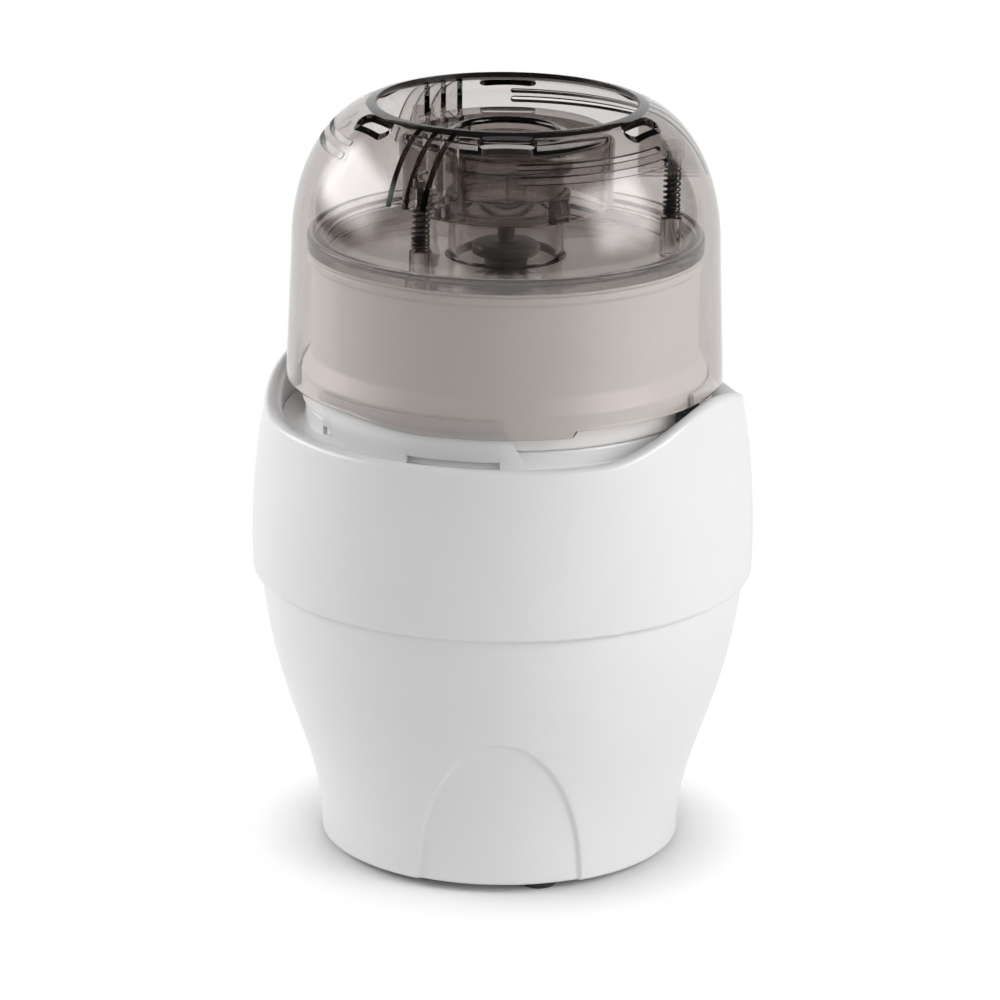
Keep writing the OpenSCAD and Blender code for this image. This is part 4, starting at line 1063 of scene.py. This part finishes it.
class CHOPPER_OT_lid(bpy.types.Operator):
    """Makes the clear inner lid and its filler"""

    bl_idname = "chopper.lid"
    bl_label = "Inner lid and filler"

    def lid(self, lid, spring):
        """Inner lid: a sunken plate with a rim, a neck with its cup, lugs and spring posts."""
        t, tight = lid.wall, 0.2 * MM
        plug_in, rim_in, plug_top = lid.plug_r - t, lid.rim_r - t, lid.rim - 1 * MM
        below, channel = lid.plate - t, lid.seat + t
        cup_floor, cup_top = lid.neck_top + t, lid.neck_top + lid.cup_h
        outline = fillet([
            (lid.neck_in, below, 0.4 * MM), (lid.plug_r, below, 1.2 * MM), (lid.plug_r, lid.seat, tight),
            (lid.rim_r, lid.seat, 0.5 * MM), (lid.rim_r, lid.rim, 0.7 * MM), (rim_in, lid.rim, 0.7 * MM),
            (rim_in, channel, tight), (lid.plug_r, channel, tight),
            (lid.plug_r, plug_top, 0.6 * MM), (plug_in, plug_top, 0.6 * MM),
            (plug_in, lid.plate, 1.2 * MM), (lid.neck_out, lid.plate, 1.2 * MM),
            (lid.neck_out, lid.neck_top, 0.4 * MM), (lid.cup_r, lid.neck_top, 0.6 * MM),
            (lid.cup_r, cup_top, 0.5 * MM), (lid.neck_out, cup_top, 0.5 * MM),
            (lid.neck_out, cup_floor, tight), (lid.neck_in, cup_floor, 0.3 * MM)])
        shell = revolve("inner_lid_shell", outline, 240)
        sunk = 0.6 * MM
        lug = block("lug", (lid.lug_len + sunk, lid.lug_w, lid.cup_h))
        eased(lug, 0.5 * MM, 3)
        lug_r, lug_z = lid.cup_r + lid.lug_len / 2 - sunk / 2, lid.neck_top + lid.cup_h / 2
        placed(lug, outwards(lid.lug_at, lug_r, lug_z))
        combine(shell, ringed(lug, THIRDS), "UNION")
        post_in, post_low = spring.pin_r + 0.4 * MM, lid.plate - 0.5 * MM
        post = revolve("post", fillet([
            (post_in, post_low, 0), (lid.post_r, post_low, 0),
            (lid.post_r, lid.post_top, 0.5 * MM), (post_in, lid.post_top, 0.3 * MM)]), 48)
        placed(post, outwards(spring.at, spring.reach))
        return combine(shell, ringed(post, THIRDS), "UNION")

    def in_channel(self, lid, face):
        """Whether a face is the floor of the channel inside the rim, which gets painted shade."""
        x, y, z = face.center
        level = abs(z - lid.seat - lid.wall) < 0.1 * MM and face.normal.z > 0.9
        return level and lid.plug_r < math.hypot(x, y) < lid.rim_r - lid.wall

    def cap(self, lid):
        """Filler: a tube with a mushroom-shaped cap and two ribs."""
        t = lid.wall
        tube_low = lid.neck_top + t + 0.2 * MM
        under = lid.knob_top - t
        tube, rib_r = lid.filler_tube, lid.filler_tube + 2.5 * MM
        corners = [(lid.filler_r, tube_low, 0.4 * MM), (tube, tube_low, 0.4 * MM)]
        for low in (lid.knob_top - 11 * MM, lid.knob_top - 6 * MM):
            top = low + 1.6 * MM
            corners += [(tube, low, 0.2 * MM), (rib_r, low, 0.3 * MM),
                        (rib_r, top, 0.3 * MM), (tube, top, 0.2 * MM)]
        corners += [(tube, under, 0.4 * MM), (lid.knob_r - t, under, lid.knob_round - t),
                    (lid.knob_r - t, lid.knob_low, 0.4 * MM), (lid.knob_r, lid.knob_low, 0.4 * MM),
                    (lid.knob_r, lid.knob_top, lid.knob_round), (lid.filler_r, lid.knob_top, 1.2 * MM)]
        return revolve("filler_cap", fillet(corners, 8), 192)

    def execute(self, context):
        lid, spring = context.scene.chopper_lid, context.scene.chopper_spring
        shell = self.lid(lid, spring)
        dress(shell, "smoke_clear", "lid", "inner_lid", look="smoke_thin")
        # Painted shade: the floor of the channel inside the rim is coloured near black
        paint_shade(shell, lambda face: self.in_channel(lid, face))
        dress(self.cap(lid), "smoke_clear", "lid", "lid_knob", look="smoke_deep")
        return {"FINISHED"}


class CHOPPER_OT_dome(bpy.types.Operator):
    """Makes the clear dome with its lip, slots and fins"""

    bl_idname = "chopper.dome"
    bl_label = "Dome"

    @staticmethod
    def crown(dome, inset, share):
        """(radius, height) on the rounded shoulder, from its foot at 0 to the lip at 1."""
        width = dome.radius - dome.taper - dome.crown_r - inset
        height = dome.top - dome.shoulder - inset
        last = math.acos((dome.mouth_r + dome.lip - dome.crown_r) / width)
        return dome.crown_r + width * math.cos(last * share), dome.shoulder + height * math.sin(last * share)

    def crown_at(self, dome, r):
        """(height, slope) of the outer face at a radius."""
        width, height = dome.radius - dome.taper - dome.crown_r, dome.top - dome.shoulder
        s = (r - dome.crown_r) / width
        fall = math.sqrt(1 - s * s)
        return dome.shoulder + height * fall, math.atan(height / width * s / fall)

    def edge_at(self, dome, a):
        """Height of the lower edge at a direction: three tabs, with a short and a long slope in each gap."""
        short, long = 1 * MM, 21 * MM
        third = math.tau / THIRDS
        gap = third - (dome.tab_to - dome.tab_from)
        off = (a - dome.tab_to - gap / 2 + third / 2) % third - third / 2
        inside = dome.radius * (math.sin(gap / 2) - abs(math.sin(off)))
        share = inside / (short if off < 0 else long)
        return dome.low + (dome.edge - dome.low) * min(max(share, 0.0), 1.0)

    def shell(self, dome):
        """Wall of the dome from its rounded lower edge to the lip."""
        rows, steps = 56, 360
        outer = [self.crown(dome, 0, i / rows) for i in range(rows + 1)]
        inner = [self.crown(dome, dome.wall, i / rows) for i in range(rows, -1, -1)]
        lip_z, soft = self.crown_at(dome, dome.mouth_r)[0], 0.2 * MM
        lip = fillet([(*outer[-1], 0), (dome.mouth_r, lip_z, soft),
                      (dome.mouth_r, lip_z - dome.lip_h, soft), (*inner[0], 0)], 4)[:-1]
        # Level rings above the lower edge keep its steps out of the wall's shading
        level = [dome.edge + 3 * MM, dome.edge + 5 * MM]
        lean = dome.taper / (dome.shoulder - dome.edge)
        wall = [(dome.radius - lean * (z - dome.edge), z) for z in level]
        back = [(r - dome.wall, z) for r, z in reversed(wall)]
        inside, draft, round_low, rise = dome.radius - dome.wall, 0.15 * MM, 0.8 * MM, 4 * MM
        sections = []
        for a in (math.tau * s / steps for s in range(steps)):
            low = self.edge_at(dome, a)
            foot = fillet([(inside, low + rise, 0), (inside, low, round_low), (dome.radius, low, round_low),
                           (dome.radius - draft, low + rise, 0)], 5)[1:-1]
            sections.append([polar(a, r, z) for r, z in foot + wall + outer[:-1] + lip + inner[1:] + back])
        return loft("dome_shell", sections)

    def is_cut(self, dome, face):
        """Whether a face belongs to the lip, the lower edge or the upright walls of a long slot; these faces
        get painted shade.
        """
        near, under = 0.22 * MM, 1.2 * MM
        flat, down, upright = 0.8, -0.2, 0.5
        x, y, z = face.center
        reach = math.hypot(x, y)
        if z < dome.edge + near:
            return abs(face.normal.z) > flat
        lip_low = self.crown_at(dome, dome.mouth_r)[0] - dome.lip_h - under
        if z > lip_low and reach < dome.mouth_r + (under if face.normal.z < down else near):
            return True
        lean = (face.normal.x * x + face.normal.y * y) / reach
        for r, width in self.slots(dome):
            height, slope = self.crown_at(dome, r)
            out = Vector((math.sin(slope), math.cos(slope)))
            spot = Vector((reach - r, z - height))
            beside = abs(spot.cross(out)) < width / 2 + near
            facing = abs(Vector((lean, face.normal.z)).dot(out))
            if beside and near < -spot.dot(out) < dome.slot_deep and facing < upright:
                return True
        return False

    @staticmethod
    def slots(dome):
        """(radius, width) of the two long slots."""
        return (dome.slot_r, dome.slot_w), (dome.slot2_r, dome.slot2_w)

    def fins(self, dome, spring):
        """Three fins that hold the top of a spring, cut to the inside of the crown."""
        inset, rows = dome.wall / 2, 40
        inner_r = dome.mouth_r - 0.1 * MM
        width = dome.radius - dome.taper - dome.crown_r - inset
        height = dome.top - dome.shoulder - inset
        low_r = dome.crown_r + width * math.sqrt(1 - ((dome.fin_low - dome.shoulder) / height) ** 2)
        crown = [self.crown(dome, inset, k / rows) for k in range(rows + 1)]
        parts = []
        for side in (-dome.fin_pitch, 0.0, dome.fin_pitch):
            outline = [(inner_r, dome.fin_low), (math.sqrt(low_r ** 2 - side ** 2), dome.fin_low)]
            outline += [(math.sqrt(max(r * r - side * side, 0)), z) for r, z in crown if z >= dome.fin_low]
            outline.append((inner_r, crown[-1][1] - 0.6 * MM))
            sides = [[(x, side + s * dome.fin_t / 2, z) for x, z in outline] for s in (-1, 1)]
            parts.append(loft("fin", sides, False))
        spring_r, seat = spring.diameter / 2, spring.top + 0.3 * MM
        past, hole_r, hole_top = dome.fin_low - 1 * MM, spring.pin_r + 0.05 * MM, spring.pin_top + 0.1 * MM
        boss = band(0, spring_r + 0.6 * MM, seat, spring.top + 4.6 * MM)
        pocket = band(0, spring_r + 0.4 * MM, past, seat)
        hole = band(0, hole_r, dome.fin_low, hole_top)
        fin = parts[0]
        for other in parts[1:]:
            combine(fin, other, "UNION")
        for name, outline, steps, operation in (
                ("boss", boss, 40, "UNION"), ("pocket", pocket, 40, "DIFFERENCE"),
                ("hole", hole, 32, "DIFFERENCE")):
            other = revolve(name, outline, steps)
            combine(fin, placed(other, Matrix.Translation((spring.reach, 0, 0))), operation)
        return ringed(placed(fin, outwards(spring.at, 0)), THIRDS)

    def oval(self, dome):
        """Upright cutter of an oval slot."""
        half, r = dome.oval_len / 2, dome.oval_w / 2
        outline = fillet([(-r, -half, r), (r, -half, r), (r, half, r), (-r, half, r)], 10)
        ends = (dome.top - 14 * MM, dome.top + 4 * MM)
        cutter = loft("oval", [[Vector((x, y, z)) for x, y in outline] for z in ends], False)
        return placed(cutter, outwards(0, dome.oval_r))

    def slot(self, dome, r, width):
        """Cutter of a long slot that runs round the shoulder, square to it."""
        z, slope = self.crown_at(dome, r)
        along = Vector((math.cos(slope), -math.sin(slope)))
        out = Vector((math.sin(slope), math.cos(slope)))
        steps, ends, blunt = 72, 8, 0.02
        corners = band(-1, 1, -dome.slot_deep, dome.wall)
        tip = (width / 2) / r
        end = tip / dome.slot_half
        shares = [-1 + (1 - math.cos(t)) * end for t in quarter(ends)[:-1]]
        shares += [-1 + end + (2 - 2 * end) * i / steps for i in range(steps + 1)]
        shares += [-s for s in reversed(shares[:ends])]
        sections = []
        for s in shares:
            left = (1 - abs(s)) * dome.slot_half / tip
            w = width / 2 * math.sqrt(max(1 - max(1 - left, 0) ** 2, blunt))
            a = dome.slot_at + s * dome.slot_half
            points = [along * (i * w) + out * j for i, j in corners]
            sections.append([polar(a, r + p.x, z + p.y) for p in points])
        return loft("slot", sections, False)

    def execute(self, context):
        dome, spring = context.scene.chopper_dome, context.scene.chopper_spring
        shell = self.shell(dome)
        combine(shell, self.fins(dome, spring), "UNION")
        combine(shell, ringed(self.oval(dome), 2 * THIRDS), "DIFFERENCE")
        for r, width in self.slots(dome):
            combine(shell, ringed(self.slot(dome, r, width), THIRDS), "DIFFERENCE")
        dress(shell, "smoke_clear", "dome", "press_dome")
        # Painted shade: the lip, the lower edge and the long slots' walls are coloured near black
        paint_shade(shell, lambda face: self.is_cut(dome, face))
        return {"FINISHED"}


class CHOPPER_OT_springs(bpy.types.Operator):
    """Winds the springs and makes the pins inside them"""

    bl_idname = "chopper.springs"
    bl_label = "Springs and pins"

    def coil(self, name, diameter, wire, turns, low, top):
        """One spring on the axis."""
        group = bpy.data.node_groups.get("Coil spring") or coil_tree()
        start = piece(name, [(0, 0, 0), (MM, 0, 0), (0, MM, 0)], [(0, 1, 2)])
        return grown(start, group, {
            "Radius": (diameter - wire) / 2, "Wire": wire, "Turns": float(turns), "Bottom": low, "Top": top,
            "Closing": 0.3, "Material": finish_of("spring_steel")})

    def copies(self, thing, spring, body, node):
        """Puts a piece at each of the dome's springs."""
        place = outwards(spring.at, spring.reach)
        ringed(placed(thing, place), THIRDS, 0.0, finish_of("spring_steel"))
        dress(thing, "spring_steel", body, node)

    def execute(self, context):
        spring, deck = context.scene.chopper_spring, context.scene.chopper_deck
        coils = self.coil("dome_springs", spring.diameter, spring.wire, spring.turns, spring.low, spring.top)
        self.copies(coils, spring, "lid", "press_springs")
        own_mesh(coils)
        small = self.coil("switch_spring", spring.slider_d, spring.slider_wire, spring.slider_turns,
                          spring.slider_low, spring.slider_top)
        placed(small, outwards(deck.slider_at, (deck.slider_in + deck.slider_out) / 2))
        dress(small, "spring_steel", "base", "slider_spring")
        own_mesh(small)
        pin = revolve("spring_pin_set", fillet([
            (0, spring.pin_low, 0), (spring.pin_r, spring.pin_low, 0.6 * MM),
            (spring.pin_r, spring.pin_top, 0.2 * MM), (0, spring.pin_top, 0)]), 32)
        self.copies(pin, spring, "dome", "spring_pins")
        return {"FINISHED"}


class CHOPPER_OT_finishes(bpy.types.Operator):
    """Makes the finishes and gives every CAD piece its own"""

    bl_idname = "chopper.finishes"
    bl_label = "Finishes"

    def execute(self, context):
        make_finishes(context.scene.chopper_finish)
        for part in frame["record"]["subparts"]:
            node = NODES[part["node"]]
            node.data.materials.clear()
            node.data.materials.append(finish_of(part["material_slot"]))
        return {"FINISHED"}


class CHOPPER_OT_stage(bpy.types.Operator):
    """Sets up the floor, the lamps and the camera"""

    bl_idname = "chopper.stage"
    bl_label = "Stage"

    def lamp(self, name, side, height, reach, size, level, mirrored=True):
        """A rectangular lamp with soft edges that looks at the part, with the level of its face."""
        aim, soft = Vector((0, 0, 0.14)), 0.3
        light = bpy.data.lights.new(name, "AREA")
        light.shape, light.size, light.size_y = "RECTANGLE", *size
        light.energy = level * math.pi * size[0] * size[1]
        f = Finish(name, light, "ShaderNodeOutputLight")
        spot = f.add("ShaderNodeNewGeometry", out="Parametric")
        share = 1.0 / (1 - soft) ** 2
        for way in ("X", "Y"):
            place = f.add("ShaderNodeSeparateXYZ", values={0: spot}, out=way)
            inside = 0.5 - f.add("ShaderNodeMath", {"operation": "ABSOLUTE"}, {0: place - 0.5})
            share = share * f.step(inside, 0.0, soft, kind="SMOOTHSTEP")
        f.close(f.add("ShaderNodeEmission", values={"Color": share, "Strength": 1.0}))
        lamp = linked(name, light)
        lamp.visible_glossy = lamp.visible_transmission = mirrored
        rise = math.radians(height)
        lamp.location = aim + polar(math.radians(side), reach * math.cos(rise), reach * math.sin(rise))
        lamp.rotation_euler = (aim - lamp.location).to_track_quat("-Z", "Y").to_euler()

    def floor(self, stage):
        """Pale floor that sweeps up behind the part."""
        half, front, back, bend, top = 2.6, -2.6, 2.1, 0.6, 1.4
        shadow_from, shadow_to = 0.05, 0.078
        line = [(front, 0.0)]
        line += [(back - bend + bend * math.sin(t), bend - bend * math.cos(t)) for t in quarter(24)]
        line.append((back, top))
        verts = [(x, y, z) for y, z in line for x in (-half, half)]
        faces = [(2 * i, 2 * i + 1, 2 * i + 3, 2 * i + 2) for i in range(len(line) - 1)]
        ground_plane = piece("studio_floor", verts, faces)
        f = Finish("studio_floor")
        shade = f.add("ShaderNodeBsdfDiffuse", values={"Color": (*stage.floor, 1)})
        glow = f.add("ShaderNodeEmission", values={"Color": WHITE, "Strength": 1.0})
        away = f.add("ShaderNodeVectorMath", {"operation": "LENGTH"}, {0: f.place()}, 1)
        share = f.shows() * f.step(away, shadow_from, shadow_to, kind="SMOOTHSTEP")
        f.close(f.add("ShaderNodeMixShader", values={0: share, 1: shade, 2: glow}))
        ground_plane.data.materials.append(f.material)

    def world(self, stage):
        """A dim room for what is seen, and a plain level for what lights."""
        world = bpy.data.worlds.new("Studio")
        bpy.context.scene.world = world
        f = Finish("Studio", world, "ShaderNodeOutputWorld")
        lit, seen = (f.add("ShaderNodeBackground", values={"Color": WHITE, "Strength": level})
                     for level in (stage.ambient, stage.surround))
        f.close(f.add("ShaderNodeMixShader", values={0: f.shows(), 1: lit, 2: seen}))

    def execute(self, context):
        stage = context.scene.chopper_stage
        self.floor(stage)
        self.world(stage)
        self.lamp("right_softbox", side=68, height=24, reach=1.0, size=(0.9, 0.9), level=2.75)
        self.lamp("left_softbox", side=-102, height=22, reach=1.0, size=(1.3, 0.74), level=2.5)
        self.lamp("front_fill", side=4, height=26, reach=1.8, size=(1.2, 0.9), level=1.75, mirrored=False)
        camera = linked("Camera", bpy.data.cameras.new("Camera"))
        camera.data.lens, camera.data.sensor_width = stage.lens, 36
        tilt = Matrix.Rotation(math.pi / 2 - stage.camera_pitch, 4, "X")
        roll = Matrix.Rotation(stage.camera_roll, 4, "Z")
        camera.matrix_world = Matrix.Translation(stage.camera_at) @ tilt @ roll
        context.scene.camera = camera
        context.scene.view_settings.view_transform = "Standard"
        cycles = context.scene.cycles
        cycles.max_bounces = 32
        cycles.transmission_bounces = 28
        cycles.transparent_max_bounces = 32
        return {"FINISHED"}


class CHOPPER_PT_panel(bpy.types.Panel):
    """Lists the steps that dress the chopper"""

    bl_label = "Food chopper"
    bl_idname = "CHOPPER_PT_panel"
    bl_space_type = "VIEW_3D"
    bl_region_type = "UI"
    bl_category = "Chopper"

    def draw(self, context):
        for step in STEPS:
            self.layout.operator(step.bl_idname)


GROUPS = {
    "chopper_base": BaseSizes,
    "chopper_deck": DeckSizes,
    "chopper_bowl": BowlSizes,
    "chopper_lid": LidSizes,
    "chopper_dome": DomeSizes,
    "chopper_spring": SpringSizes,
    "chopper_finish": Finishes,
    "chopper_stage": StageSettings,
}
STEPS = (
    CHOPPER_OT_finishes, CHOPPER_OT_housing, CHOPPER_OT_deck, CHOPPER_OT_bowl, CHOPPER_OT_blade,
    CHOPPER_OT_lid, CHOPPER_OT_dome, CHOPPER_OT_springs, CHOPPER_OT_stage,
)


def register():
    """Registers the sizes, the steps and the panel."""
    for name, group in GROUPS.items():
        bpy.utils.register_class(group)
        setattr(bpy.types.Scene, name, PointerProperty(type=group))
    for step in (*STEPS, CHOPPER_PT_panel):
        bpy.utils.register_class(step)


def unregister():
    """Takes back what register did."""
    for step in (CHOPPER_PT_panel, *reversed(STEPS)):
        bpy.utils.unregister_class(step)
    for name, group in GROUPS.items():
        delattr(bpy.types.Scene, name)
        bpy.utils.unregister_class(group)


def main():
    """Runs every step."""
    register()
    for step in STEPS:
        group, name = step.bl_idname.split(".")
        getattr(getattr(bpy.ops, group), name)()


if __name__ == "__main__":
    main()
